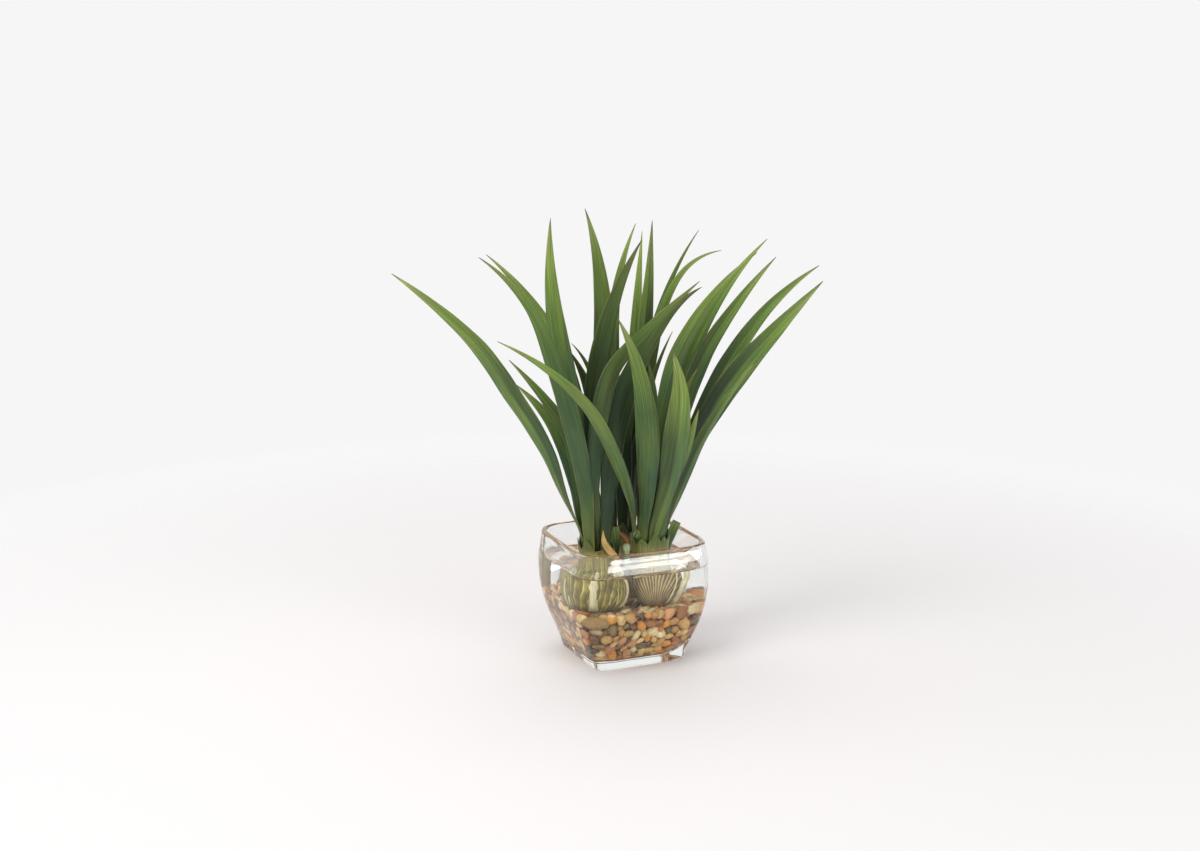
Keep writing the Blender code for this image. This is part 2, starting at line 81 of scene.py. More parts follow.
# Each leaf: ring, side of the neck, way it faces, widest width, root width, where it is widest,
# and the points that it passes, up to its tip
LEAVES = {
    "left": [
        (0, 190, -115, 15.5, 6.5, 0.58,
         [(-43, -25, 128), (-57, -28, 167), (-81, -32, 209), (-110, -38, 252), (-168, -48, 304)]),
        (0, 145, -105, 14.0, 7.5, 0.50,
         [(-35, -11, 138), (-45, -9, 169), (-59, -7, 192), (-82, -4, 215)]),
        (1, 158, -95, 12.0, 6.0, 0.50,
         [(-32, -18, 139), (-40, -16, 176), (-58, -15, 204), (-86, -13, 235)]),
        (0, 240, -95, 14.5, 9.5, 0.45,
         [(-29, -36, 141), (-37, -42, 187), (-51, -48, 236), (-69, -54, 281), (-104, -60, 317)]),
        (0, 80, -85, 12.5, 9.0, 0.55,
         [(-27, -6, 140), (-36, 0, 202), (-55, 6, 253), (-78, 12, 286), (-104, 18, 311)]),
        (1, 228, -95, 17.0, 6.5, 0.58,
         [(-29, -28, 138), (-40, -29, 207), (-49, -25, 256), (-54, -19, 300), (-54, -12, 341)]),
        (1, 281, -80, 14.0, 5.5, 0.52,
         [(-22, -33.5, 139), (-18, -35, 193), (-8, -36, 231), (18, -33, 261), (56, -27, 296)]),
        (0, 308, -75, 19.6, 8.5, 0.50,
         [(-10, -24.5, 144), (-5, -24, 191), (13, -18, 237), (37, -10, 272), (59, -5, 289)]),
        (0, 30, -85, 16.0, 8.0, 0.60,
         [(-22, -14, 134), (-23, -11, 188), (-17, -5, 240), (-5, 1, 283), (14, 8, 323)]),
    ],
    "right": [
        (0, 203, -110, 11.5, 8.0, 0.45,
         [(5, -24, 129), (-7, -46, 169), (-27, -68, 210), (-54, -84, 239), (-89, -97, 262)]),
        (0, 246, -95, 18.0, 6.8, 0.50,
         [(18, -26, 137), (18, -41, 183), (13, -54, 224), (6, -62, 250), (-5, -70, 275)]),
        (0, 284, -80, 20.6, 6.8, 0.60,
         [(34, -26, 141), (40, -44, 188), (41, -55, 220), (35, -66, 250)]),
        (0, 346, -60, 11.0, 7.0, 0.45,
         [(42, -10, 129), (56, -14, 166), (76, -21, 204), (99, -28, 237)]),
        (0, 24, -75, 19.0, 7.5, 0.60,
         [(41, 0, 133), (58, -4, 176), (83, -10, 220), (116, -17, 261), (147, -26, 296)]),
        (0, 62, -85, 14.0, 7.5, 0.58,
         [(39, 4, 133), (54, 9, 172), (81, 18, 227), (114, 26, 271), (152, 34, 301)]),
        (0, 315, -75, 10.0, 5.0, 0.60,
         [(36, -20, 137), (46, -25, 164), (52, -31, 185), (56, -36, 202)]),
        (1, 268, -80, 13.0, 5.5, 0.60,
         [(26, -11, 142), (30, -15, 193), (40, -17, 237), (65, -17, 281), (99, -15, 316)]),
        (1, 15, -80, 14.0, 6.0, 0.58,
         [(31, 2, 130), (44, 8, 184), (63, 13, 236), (90, 17, 277), (117, 20, 309)]),
        (1, 96, -85, 12.5, 5.0, 0.58,
         [(26, 18, 132), (40, 24, 190), (57, 31, 242), (82, 40, 285), (113, 50, 320)]),
        (1, 218, -80, 12.0, 6.5, 0.55,
         [(16.5, -20, 140), (20.5, -25, 184), (22.5, -28, 211), (18, -31, 238)]),
        (2, 330, -80, 9.0, 5.0, 0.50,
         [(30, -6, 132), (38, -6, 172), (46, -7, 205), (58, -8, 230)]),
    ],
    "back": [
        (0, 180, -75, 17.0, 6.5, 0.60,
         [(-9, 26, 132), (-14, 29, 204), (-15, 35, 266), (-20, 39, 309), (-29, 43, 344)]),
        (0, 127, -80, 11.0, 6.5, 0.60,
         [(-2, 46, 136), (-7, 58, 207), (-5, 64, 274), (11, 74, 330)]),
        (1, 85, -90, 10.0, 5.0, 0.60,
         [(2, 40, 138), (8, 49, 201), (12, 60, 267), (16, 72, 324)]),
        (1, 20, -70, 13.0, 5.0, 0.62,
         [(6, 30, 140), (13, 33, 207), (19, 37, 270), (23, 42, 335)]),
        (0, 52, -65, 8.5, 6.5, 0.50,
         [(7, 46, 136), (16, 62, 202), (34, 78, 271), (62, 92, 323)]),
        (0, 7, -85, 11.0, 7.5, 0.50,
         [(11, 35, 138), (20, 45, 213), (34, 53, 270), (53, 57, 299), (78, 60, 310)]),
        (0, 322, -75, 7.0, 6.0, 0.50,
         [(8, 22, 138), (16, 25, 181), (26, 28, 219), (39, 31, 250)]),
        (1, 150, -85, 9.0, 5.0, 0.50,
         [(-8, 38, 130), (-15, 43, 173), (-25, 50, 215), (-40, 54, 237)]),
        (0, 222, -85, 15.0, 6.5, 0.50,
         [(-10, 18, 134), (-18, 16, 175), (-29, 14, 215), (-41, 12, 238)]),
        (0, 272, -90, 13.0, 7.0, 0.50,
         [(1, 14, 135), (2, 12, 176), (3, 11, 211)]),
    ],
}

# Each leaf's colouring, partly painted shade: brightness (its own tone and painted shade together),
# yellowness, and painted shade darkening its left half and its right half
LEAF_TONE_AND_SHADE = {
    "left": [
        (0.98, 0.58, 0, 0.42), (0.90, 0.32, 0, 0.28), (0.82, 0.35, 0, 0.52),
        (0.64, 0.25, 0.05, 0), (0.74, 0.28, 0.15, 0), (0.72, 0.48, 0, 0.1),
        (0.48, 0.40, 0, 0.15), (0.34, 0.10, 0, 0.08), (0.33, 0.22, 0, 0),
    ],
    "right": [
        (0.90, 0.58, 0, 0), (0.70, 0.35, 0, 0), (0.95, 0.60, 0.46, 0),
        (0.82, 0.45, 0.58, 0), (0.88, 0.22, 0.66, 0), (0.82, 0.38, 0.48, 0),
        (0.78, 0.27, 0.08, 0), (0.79, 0.55, 0, 0.36), (0.76, 0.38, 0.5, 0),
        (0.92, 0.42, 0, 0.04), (0.30, 0.40, 0.05, 0.1), (0.45, 0.45, 0, 0.22),
    ],
    "back": [
        (0.62, 0.45, 0, 0.12), (0.88, 0.52, 0, 0.18), (1.00, 0.66, 0, 0.45),
        (0.76, 0.40, 0, 1.0), (0.60, 0.24, 0, 0.38), (0.92, 0.62, 0, 0.5),
        (0.24, 0.12, 0, 0.42), (0.24, 0.10, 0, 0), (0.30, 0.12, 0, 0),
        (0.29, 0.10, 0, 0.2),
    ],
}

scene = bpy.context.scene


# Helpers for places and curves

STEPS_BETWEEN_POINTS = 40


def turned(points):
    """Points of the plant's layout, on the vase's axes."""
    p = np.asarray(points, float)
    c = math.cos(PLANT_TURN)
    s = math.sin(PLANT_TURN)
    return np.stack([c * p[..., 0] - s * p[..., 1], s * p[..., 0] + c * p[..., 1], p[..., 2]], -1)


def run_along(path):
    """The length of the path up to each of its points."""
    return np.concatenate([[0.0], np.cumsum(np.linalg.norm(np.diff(path, axis=0), axis=1))])


def smooth_path(points, count):
    """A smooth curve through the points, evenly spaced."""
    p = np.array(points, float)
    t = np.concatenate([[0.0], np.cumsum(np.linalg.norm(np.diff(p, axis=0), axis=1) ** 0.5)])
    slope = np.zeros_like(p)
    for i in range(1, len(p) - 1):
        before = (p[i] - p[i - 1]) / (t[i] - t[i - 1])
        after = (p[i + 1] - p[i]) / (t[i + 1] - t[i])
        weight = (t[i + 1] - t[i]) / (t[i + 1] - t[i - 1])
        slope[i] = weight * before + (1 - weight) * after
    slope[0] = 2 * (p[1] - p[0]) / (t[1] - t[0]) - slope[1]
    slope[-1] = 2 * (p[-1] - p[-2]) / (t[-1] - t[-2]) - slope[-2]
    fine = []
    for i in range(len(p) - 1):
        span = t[i + 1] - t[i]
        s = np.linspace(0, 1, STEPS_BETWEEN_POINTS, endpoint=i == len(p) - 2)[:, None]
        fine.append(
            (2 * s**3 - 3 * s**2 + 1) * p[i]
            + (s**3 - 2 * s**2 + s) * span * slope[i]
            + (3 * s**2 - 2 * s**3) * p[i + 1]
            + (s**3 - s**2) * span * slope[i + 1]
        )
    fine = np.concatenate(fine)
    run = run_along(fine)
    marks = run[-1] * np.linspace(0, 1, count)
    return np.stack([np.interp(marks, run, fine[:, k]) for k in range(p.shape[1])], 1)


def ease(value):
    value = np.clip(value, 0, 1)
    return value * value * (3 - 2 * value)


def unit(vectors):
    return vectors / np.linalg.norm(vectors, axis=-1, keepdims=True)


def sides_of(path, out):
    """Unit vectors across the path: one square to out, and one as near to out as can be."""
    heading = unit(np.gradient(path, axis=0))
    side = unit(np.cross(heading, out))
    return side, unit(np.cross(side, heading))


def angles_round(count):
    return 2 * np.pi * np.arange(count) / count


def oval(centre, side, up, r, flat, angle):
    """A ring round the centre: its half width is r along side, and r times flat along up."""
    return centre + side * (r * np.cos(angle))[:, None] + up * (r * flat * np.sin(angle))[:, None]


# Helpers for meshes


def placed(name, data):
    """A new object in the scene."""
    obj = bpy.data.objects.new(name, data)
    scene.collection.objects.link(obj)
    return obj


def mesh_object(name, points, faces, look):
    """A new mesh object, from points in millimetres on the vase's axes."""
    mesh = bpy.data.meshes.new(name)
    mesh.from_pydata([tuple(p) for p in np.asarray(points) * MM], [], faces)
    mesh.materials.append(look)
    return placed(name, mesh)


def piece(name, points, faces, look, replaces=()):
    """A smooth piece of the object, which rides its only body."""
    obj = mesh_object(name, points, faces, look)
    for face in obj.data.polygons:
        face.use_smooth = True
    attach(obj, "root")
    if replaces:
        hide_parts(*replaces)
    return obj


def tube_faces(rows, count, first=0):
    """Quads of a closed tube of rings, with its two ends capped."""
    faces = [[first + i for i in range(count)][::-1]]
    for row in range(rows - 1):
        a = first + row * count
        b = a + count
        for i in range(count):
            j = (i + 1) % count
            faces.append([a + i, a + j, b + j, b + i])
    faces.append([first + (rows - 1) * count + i for i in range(count)])
    return faces


def attribute(obj, name, values):
    """Writes place, three numbers a vertex, or tint, four numbers a vertex."""
    kind, key = ("FLOAT_COLOR", "color") if name == "tint" else ("FLOAT_VECTOR", "vector")
    made = obj.data.attributes.new(name, kind, "POINT")
    made.data.foreach_set(key, np.asarray(values, np.float32).ravel())


# Helpers for materials


class Look:
    """The nodes of a material, or of the world, under construction."""

    def __init__(self, name, world=False):
        self.made = (bpy.data.worlds if world else bpy.data.materials).new(name)
        self.made.use_nodes = True
        self.tree = self.made.node_tree
        self.shader = self.tree.nodes["Background" if world else "Principled BSDF"]
        self.output = self.tree.nodes["World Output" if world else "Material Output"]

    def node(self, kind, settings=None, values=(), **inputs):
        """A new node. The values go to its first sockets, and the inputs to those they name."""
        made = self.tree.nodes.new("ShaderNode" + kind)
        for key, value in (settings or {}).items():
            setattr(made, key, value)
        for socket, value in zip(made.inputs, values):
            self.feed(socket, value)
        for key, value in inputs.items():
            self.feed(made.inputs[key.replace("_", " ")], value)
        return made

    def feed(self, socket, value):
        if isinstance(value, bpy.types.NodeSocket):
            self.tree.links.new(value, socket)
        elif isinstance(value, (tuple, list)) and len(value) == 3 and socket.type == "RGBA":
            socket.default_value = (*value, 1.0)
        else:
            socket.default_value = value

    def attribute(self, name):
        return self.node("Attribute", {"attribute_name": name}).outputs

    def parts(self, vector):
        return self.node("SeparateXYZ", Vector=vector).outputs

    def math(self, operation, *values):
        return self.node("Math", {"operation": operation}, values).outputs[0]

    def times(self, first, second):
        return self.math("MULTIPLY", first, second)

    def plus(self, first, second):
        return self.math("ADD", first, second)

    def span(self, value, low, high, to_low=0.0, to_high=1.0):
        return self.node("MapRange", None, (value, low, high, to_low, to_high)).outputs[0]

    def mix(self, share, first, second, blend="MIX"):
        made = self.node("Mix", {"data_type": "RGBA", "blend_type": blend})
        for place, value in ((0, share), (6, first), (7, second)):
            self.feed(made.inputs[place], value)
        return made.outputs[2]

    def shaded(self, colour, light):
        grey = self.node("CombineColor", Red=light, Green=light, Blue=light).outputs[0]
        return self.mix(1.0, colour, grey, "MULTIPLY")

    def ramp(self, value, stops):
        made = self.node("ValToRGB", None, (value,))
        line = made.color_ramp
        while len(line.elements) < len(stops):
            line.elements.new(0.5)
        for element, (place, colour) in zip(line.elements, stops):
            element.position = place
            element.color = (*colour, 1.0)
        return made.outputs[0]

    def noise(self, vector, scale, detail=3.0, roughness=0.5):
        made = self.node("TexNoise", Vector=vector, Scale=scale, Detail=detail, Roughness=roughness)
        return made.outputs[0]

    def stretched(self, vector, scale):
        return self.node("Mapping", Vector=vector, Scale=scale).outputs[0]

    def bump(self, height, strength, distance):
        made = self.node("Bump", Height=height, Strength=strength, Distance=distance)
        self.surface(Normal=made.outputs[0])

    def either(self, share, first, second):
        """The first shader, or the second one where share is 1."""
        both = self.node("MixShader", None, (share, first.outputs[0], second.outputs[0]))
        self.feed(self.output.inputs["Surface"], both.outputs[0])
        return self.made

    def surface(self, **inputs):
        for key, value in inputs.items():
            self.feed(self.shader.inputs[key.replace("_", " ")], value)
        return self.made


# Millimetres from one vein to the next
VEIN_GAP = 1.3
# From a leaf's foot, 0, to its tip, 1: dark low down, partly the leaf's colour and partly painted shade, and
# yellower towards the tip
LEAF_COLOURS = [
    (0.00, (0.145, 0.155, 0.036)), (0.07, (0.115, 0.142, 0.038)), (0.12, (0.062, 0.113, 0.040)),
    (0.16, (0.048, 0.108, 0.044)), (0.35, (0.046, 0.120, 0.058)), (0.60, (0.078, 0.160, 0.050)),
    (0.82, (0.200, 0.328, 0.066)), (0.965, (0.360, 0.440, 0.135)), (0.990, (0.200, 0.150, 0.070)),
    (1.00, (0.070, 0.035, 0.030)),
]
LEAF_YELLOW = (0.23, 0.30, 0.05)
LEAF_SHADOW = (0.028, 0.032, 0.022)
MARGIN_BROWN = (0.085, 0.075, 0.035)
MARGIN_PALE = (0.250, 0.270, 0.110)
NECK_GREEN = (0.085, 0.125, 0.036)
PEBBLE_VEIN = (0.50, 0.36, 0.22)


def leaf_look():
    look = Look("leaf_blade")
    place = look.attribute("place")["Vector"]
    tint = look.attribute("tint")
    tone_and_shade, yellow, left = look.parts(tint["Vector"])
    right = tint["Alpha"]
    u, v, _ = look.parts(look.node("UVMap", {"uv_map": "UVMap"}).outputs[0])
    colour = look.ramp(v, LEAF_COLOURS)
    # yellower leaves, and cloudy patches of yellow
    patches = look.noise(look.stretched(place, (0.06, 0.018, 1.0)), 1.0, 2.0)
    yellow = look.plus(yellow, look.span(patches, 0.38, 0.66, -0.26, 0.42))
    colour = look.mix(look.times(yellow, 0.55), colour, LEAF_YELLOW)
    # long fine veins, and streaks between them
    wander = look.noise(look.stretched(place, (0.2, 0.02, 1.0)), 1.0, 2.0)
    off_middle = look.parts(place)[0]
    across = look.plus(off_middle, look.times(wander, 0.8))
    vein = look.math("SINE", look.times(across, 2 * math.pi / VEIN_GAP))
    streak = look.noise(look.stretched(place, (0.9, 0.02, 1.0)), 1.0, 2.0)
    light = look.span(vein, -1.0, 1.0, 0.86, 1.12)
    light = look.times(light, look.span(streak, 0.3, 0.7, 0.66, 1.28))
    # painted shade: how bright this leaf is, its own tone and painted shade together, and which half of it
    # is darkened by painted shade, less so towards the tip
    light = look.times(light, tone_and_shade)
    side_left = look.span(u, 0.44, 0.52, 1.0, 0.0)
    side_right = look.span(u, 0.44, 0.52)
    shade = look.plus(look.times(side_left, left), look.times(side_right, right))
    shade = look.times(shade, look.span(v, 0.58, 0.82, 1.0, 0.4))
    light = look.times(light, look.math("SUBTRACT", 1.0, look.times(shade, 0.8)))
    colour = look.shaded(colour, light)
    colour = look.mix(look.times(shade, 0.40), colour, LEAF_SHADOW)
    # a thin margin, brownish in places and pale in others
    margin = look.math("ABSOLUTE", look.math("SUBTRACT", u, 0.5))
    margin = look.span(margin, 0.460, 0.492, 0.0, 0.60)
    pale = look.span(patches, 0.44, 0.54)
    colour = look.mix(margin, colour, look.mix(pale, MARGIN_BROWN, MARGIN_PALE))
    look.bump(vein, 0.20, 0.00010)
    rough = look.span(streak, 0.3, 0.7, 0.40, 0.54)
    return look.surface(Base_Color=colour, Roughness=rough, Specular_IOR_Level=0.33)


def bulb_look(name, ground, lines, count, line_width, wave, patchy, throat, green):
    """Onion skin: overlapping layers that run from the root end to the neck, with thin pale edges."""
    look = Look(name)
    x, y, _ = look.parts(look.attribute("place")["Vector"])
    v = look.parts(look.node("UVMap", {"uv_map": "UVMap"}).outputs[0])[1]
    spot = look.node("NewGeometry").outputs["Position"]
    wander = look.noise(look.stretched(spot, (75, 75, 48)), 1.0, 2.0)
    turn = look.times(look.math("ARCTAN2", x, y), 0.5 / math.pi)
    turn = look.plus(turn, look.times(wander, wave))
    layer = look.math("FRACT", look.times(turn, count))
    edge = look.math("MINIMUM", layer, look.times(look.math("SUBTRACT", 1.0, layer), 3.0))
    second = look.math("FRACT", look.times(turn, count * 3))
    hair = look.span(second, 0.0, 0.45, 0.75, 1.12)
    cloud = look.noise(spot, 130.0, 3.0)
    thread = look.noise(look.stretched(spot, (900, 900, 45)), 1.0, 3.0)
    value = look.plus(look.span(layer, 0.0, 1.0, 0.15, 0.75), look.span(cloud, 0.3, 0.7, -0.30, 0.30))
    value = look.plus(value, look.span(thread, 0.3, 0.7, -0.15, 0.15))
    colour = look.shaded(look.ramp(value, ground), hair)
    pale = look.span(edge, line_width * 0.5, line_width, 1.0, 0.0)
    pale = look.times(pale, look.span(cloud, 0.35, 0.6, 1.0 - patchy, 0.95))
    colour = look.mix(pale, colour, lines)
    darkest = look.span(v, 0.75, 1.0, 0.40, 0.70)
    lightest = look.span(v, 0.75, 1.0, 1.65, 1.30)
    streak = look.span(thread, 0.3, 0.7, darkest, lightest)
    colour = look.mix(look.span(v, 0.62, 0.80, 0.0, 0.9), colour, look.shaded(throat, streak))
    leafy = look.mix(look.span(v, 1.02, 1.18), green, NECK_GREEN)
    colour = look.mix(look.span(v, 0.93, 1.05), colour, look.shaded(leafy, streak))
    height = look.plus(look.span(edge, 0.0, 0.4, 1.0, 0.0), look.times(thread, 0.5))
    look.bump(height, 0.5, 0.0003)
    return look.surface(Base_Color=colour, Roughness=0.42, Specular_IOR_Level=0.4)


def pebble_look():
    look = Look("pebbles")
    tint = look.attribute("tint")["Color"]
    spot = look.node("NewGeometry").outputs["Position"]
    cloud = look.noise(spot, 420.0, 4.0, 0.6)
    grain = look.noise(spot, 1700.0, 3.0, 0.6)
    light = look.span(cloud, 0.3, 0.7, 0.72, 1.22)
    light = look.times(light, look.span(grain, 0.3, 0.7, 0.85, 1.12))
    colour = look.shaded(tint, light)
    veins = look.noise(look.stretched(spot, (1.0, 1.0, 2.2)), 260.0, 2.0)
    band = look.span(look.math("ABSOLUTE", look.math("SUBTRACT", veins, 0.5)), 0.0, 0.03, 0.5, 0.0)
    colour = look.mix(band, colour, PEBBLE_VEIN)
    look.bump(grain, 0.25, 0.0002)
    return look.surface(Base_Color=colour, Roughness=0.35, Specular_IOR_Level=0.4)


def unseen_look():
    """Where resin wets the glass, the resin's own side does the bending."""
    look = Look("wetted_glass")
    look.tree.nodes.remove(look.shader)
    clear = look.node("BsdfTransparent", Color=(1, 1, 1))
    look.feed(look.output.inputs["Surface"], clear.outputs[0])
    return look.made


def clear_look(name, colour, ior, wave):
    """Glass that bends what is seen through it, and lets lamps reach what is behind it."""
    look = Look(name)
    spot = look.node("NewGeometry").outputs["Position"]
    look.bump(look.noise(spot, 38.0, 1.0), wave, 0.0015)
    look.surface(Base_Color=colour, Roughness=0.0, IOR=ior, Transmission_Weight=1.0)
    ray = look.node("LightPath").outputs
    lamp = look.math("MAXIMUM", ray["Is Shadow Ray"], ray["Is Diffuse Ray"])
    clear = look.node("BsdfTransparent", Color=tuple(0.5 + 0.5 * c for c in colour))
    return look.either(lamp, look.shader, clear)


def streaked_look(name, pale, dark, roughness=0.55):
    """Dry or fibrous skin with streaks along it."""
    look = Look(name)
    place = look.attribute("place")["Vector"]
    streak = look.noise(look.stretched(place, (2.2, 0.12, 1.0)), 1.0, 4.0)
    cloud = look.noise(look.stretched(place, (0.25, 0.12, 1.0)), 1.0, 2.0)
    value = look.plus(look.span(streak, 0.3, 0.7, 0.0, 0.7), look.span(cloud, 0.35, 0.65, 0.0, 0.3))
    colour = look.ramp(value, [(0.0, dark), (0.55, pale), (1.0, tuple(min(1, 1.25 * c) for c in pale))])
    look.bump(streak, 0.4, 0.0002)
    return look.surface(Base_Color=colour, Roughness=roughness, Specular_IOR_Level=0.35)


LEAF = leaf_look()
GLASS_INDEX = 1.52
RESIN_INDEX = 1.42
GLASS = clear_look("clear_glass", (0.955, 0.98, 0.975), GLASS_INDEX, 0.03)
WETTED = unseen_look()
RESIN = clear_look("clear_resin", (0.97, 0.98, 0.965), RESIN_INDEX, 0.05)
RESIN_SIDE = clear_look("resin_against_glass", (0.985, 0.99, 0.98), RESIN_INDEX / GLASS_INDEX, 0.0)
PEBBLE = pebble_look()
SKIN_LEFT = bulb_look(
    "bulb_skin_left",
    [(0.0, (0.060, 0.048, 0.012)), (0.5, (0.195, 0.156, 0.032)), (1.0, (0.41, 0.335, 0.085))],
    lines=(0.64, 0.54, 0.20), count=34, line_width=0.13, wave=0.09, patchy=0.85,
    throat=(0.27, 0.215, 0.065), green=(0.110, 0.112, 0.030),
)
SKIN_RIGHT = bulb_look(
    "bulb_skin_right",
    [(0.0, (0.070, 0.036, 0.036)), (0.45, (0.17, 0.100, 0.078)), (1.0, (0.32, 0.25, 0.12))],
    lines=(0.60, 0.52, 0.20), count=58, line_width=0.34, wave=0.015, patchy=0.35,
    throat=(0.22, 0.195, 0.065), green=(0.125, 0.155, 0.042),
)
SKIN_BACK = bulb_look(
    "bulb_skin_back",
    [(0.0, (0.130, 0.105, 0.045)), (0.5, (0.30, 0.250, 0.120)), (1.0, (0.52, 0.44, 0.25))],
    lines=(0.72, 0.60, 0.38), count=26, line_width=0.24, wave=0.05, patchy=0.85,
    throat=(0.24, 0.20, 0.09), green=(0.070, 0.080, 0.032),
)
TAN = streaked_look("sheath_tan", (0.52, 0.33, 0.13), (0.30, 0.16, 0.05))
RUST = streaked_look("sheath_rust", (0.30, 0.13, 0.04), (0.10, 0.04, 0.02))
CREAM = streaked_look("root_cream", (0.66, 0.60, 0.38), (0.36, 0.32, 0.15), 0.45)
SHOOT = streaked_look("shoot_pale", (0.30, 0.36, 0.20), (0.09, 0.12, 0.05), 0.45)
STEM = streaked_look("stem_olive", (0.16, 0.20, 0.07), (0.05, 0.07, 0.022), 0.5)


# Vase and resin

AROUND = 192
VASE_ROWS = 160
RESIN_GAP = 0.03


def level_at(z):
    """(half width, squareness) of the cavity at this height, for a number or an array."""
    heights, halves, squares = np.array(INSIDE[::-1]).T
    return np.interp(z, heights, halves), np.interp(z, heights, squares)


def square_rings(levels, count=AROUND):
    """Rounded-square rings as points, one ring after another."""
    angle = angles_round(count)
    c = np.cos(angle)
    s = np.sin(angle)
    rings = []
    for z, half, squareness in levels:
        reach = half / (np.abs(c) ** squareness + np.abs(s) ** squareness) ** (1 / squareness)
        rings.append(np.stack([reach * c, reach * s, np.full(count, z)], 1))
    return np.concatenate(rings)


# How far the resin climbs the wall
CLIMB = 1.3
WATERLINE = WATER_TOP + CLIMB

inner = smooth_path(OUTSIDE + INSIDE, VASE_ROWS)
turn_over = len(inner) // 2
wet = next(i for i in range(turn_over, VASE_ROWS) if inner[i, 0] < WATERLINE)
line_half, line_square = level_at(WATERLINE)
inner = np.insert(inner, wet, (WATERLINE, line_half, line_square), axis=0)
bottom = [(0.0, 8.0, 4.0), (0.0, 30.0, 6.0), (0.0, 36.6, 6.5)]
floor_in = [(7.2, 24.5, 5.0), (7.2, 16.0, 4.0), (7.2, 6.0, 3.0)]
levels = np.concatenate([np.array(bottom), inner, np.array(floor_in)])
faces = tube_faces(len(levels), AROUND)
vase = piece("vase_glass", square_rings(levels), faces, GLASS, ["glass_vase"])
first_wet = 1 + (len(bottom) + wet) * AROUND
vase.data.materials.append(WETTED)
for face in list(vase.data.polygons)[first_wet:]:
    face.material_index = 1

# The resin fills the cavity up to a hair from the wall, and climbs it a little
fill = levels[len(bottom) + wet :][::-1].copy()
fill[:, 1] -= RESIN_GAP
fill[: len(floor_in), 0] += RESIN_GAP
top_rows = [
    (WATER_TOP + 0.45 * CLIMB, line_half - 0.5, line_square),
    (WATER_TOP + 0.12 * CLIMB, line_half - 1.6, line_square),
    (WATER_TOP, line_half - 3.4, line_square), (WATER_TOP, line_half - 6.0, line_square),
    (WATER_TOP, 22.0, 4.0), (WATER_TOP, 6.0, 3.0),
]
points = square_rings(np.concatenate([fill, np.array(top_rows)]))
faces = tube_faces(len(fill) + len(top_rows), AROUND)
resin = piece("resin_water", points, faces, RESIN, ["set_water"])
resin.data.materials.append(RESIN_SIDE)
for face in list(resin.data.polygons)[: 1 + (len(fill) - 1) * AROUND]:
    face.material_index = 1


# Ribbons: leaves, sheaths, stubs

ACROSS = 9


def ribbon(name, path, facing, widths, fold, thick, look, node, tint, curl, seed):
    """A closed folded blade along the path. It faces the way that facing says, in degrees, at each point."""
    count = len(path)
    along = np.linspace(0, 1, count)
    way = np.radians(facing)
    side, up = sides_of(path, np.stack([np.cos(way), np.sin(way), np.zeros(count)], 1))
    chance = random.Random(seed)
    phase = [chance.uniform(0, 2 * math.pi) for _ in range(4)]
    run = run_along(path)
    half = widths / 2
    across = np.linspace(-1, 1, ACROSS)
    rings = []
    for row in range(count):
        wave_left = 0.045 * math.sin(run[row] / 13 + phase[0]) + 0.03 * math.sin(run[row] / 5.5 + phase[1])
        wave_right = 0.045 * math.sin(run[row] / 15 + phase[2]) + 0.03 * math.sin(run[row] / 6.1 + phase[3])
        wave = np.where(across < 0, wave_left, wave_right) * across**2
        rise = fold * (np.abs(across) - 0.5) + curl * (across**2 - 0.4) + wave
        rise = rise * half[row]
        body = 0.5 * thick * (1 - 0.55 * np.abs(across) ** 3)
        centre = path[row] + side[row] * (across * half[row])[:, None] + up[row] * rise[:, None]
        over = centre + up[row] * body[:, None]
        under = centre - up[row] * body[:, None]
        rings.append(np.concatenate([over, under[::-1]]))
    points = np.concatenate(rings)
    ring = 2 * ACROSS
    faces = tube_faces(count, ring)
    obj = piece(name, turned(points), faces, look, [node])
    spread = np.concatenate([across, across[::-1]])
    u = np.tile((spread + 1) / 2, count)
    v = np.repeat(along, ring)
    off_middle = np.tile(spread, count) * np.repeat(half, ring)
    place = np.stack([off_middle, np.repeat(run, ring), np.full(len(u), 37.0 * seed)], 1)
    attribute(obj, "place", place)
    attribute(obj, "tint", np.tile(tint, (len(u), 1)))
    layer = obj.data.uv_layers.new(name="UVMap")
    index = np.zeros(len(obj.data.loops), np.int32)
    obj.data.loops.foreach_get("vertex_index", index)
    layer.data.foreach_set("uv", np.stack([u[index], v[index]], 1).astype(np.float32).ravel())


LEAF_ROWS = 84
LEAF_TIP = 0.35
LEAF_THICK = 0.55
LEAF_FOLD = 0.16
LEAF_CURL = 0.05
TAPER = 1.4
# Heights of a leaf's foot and neck over the socket's floor, and how far it leans out between them
FOOT_RISE = 0.4
NECK_RISE = 18.3
NECK_LEAN = 1.5


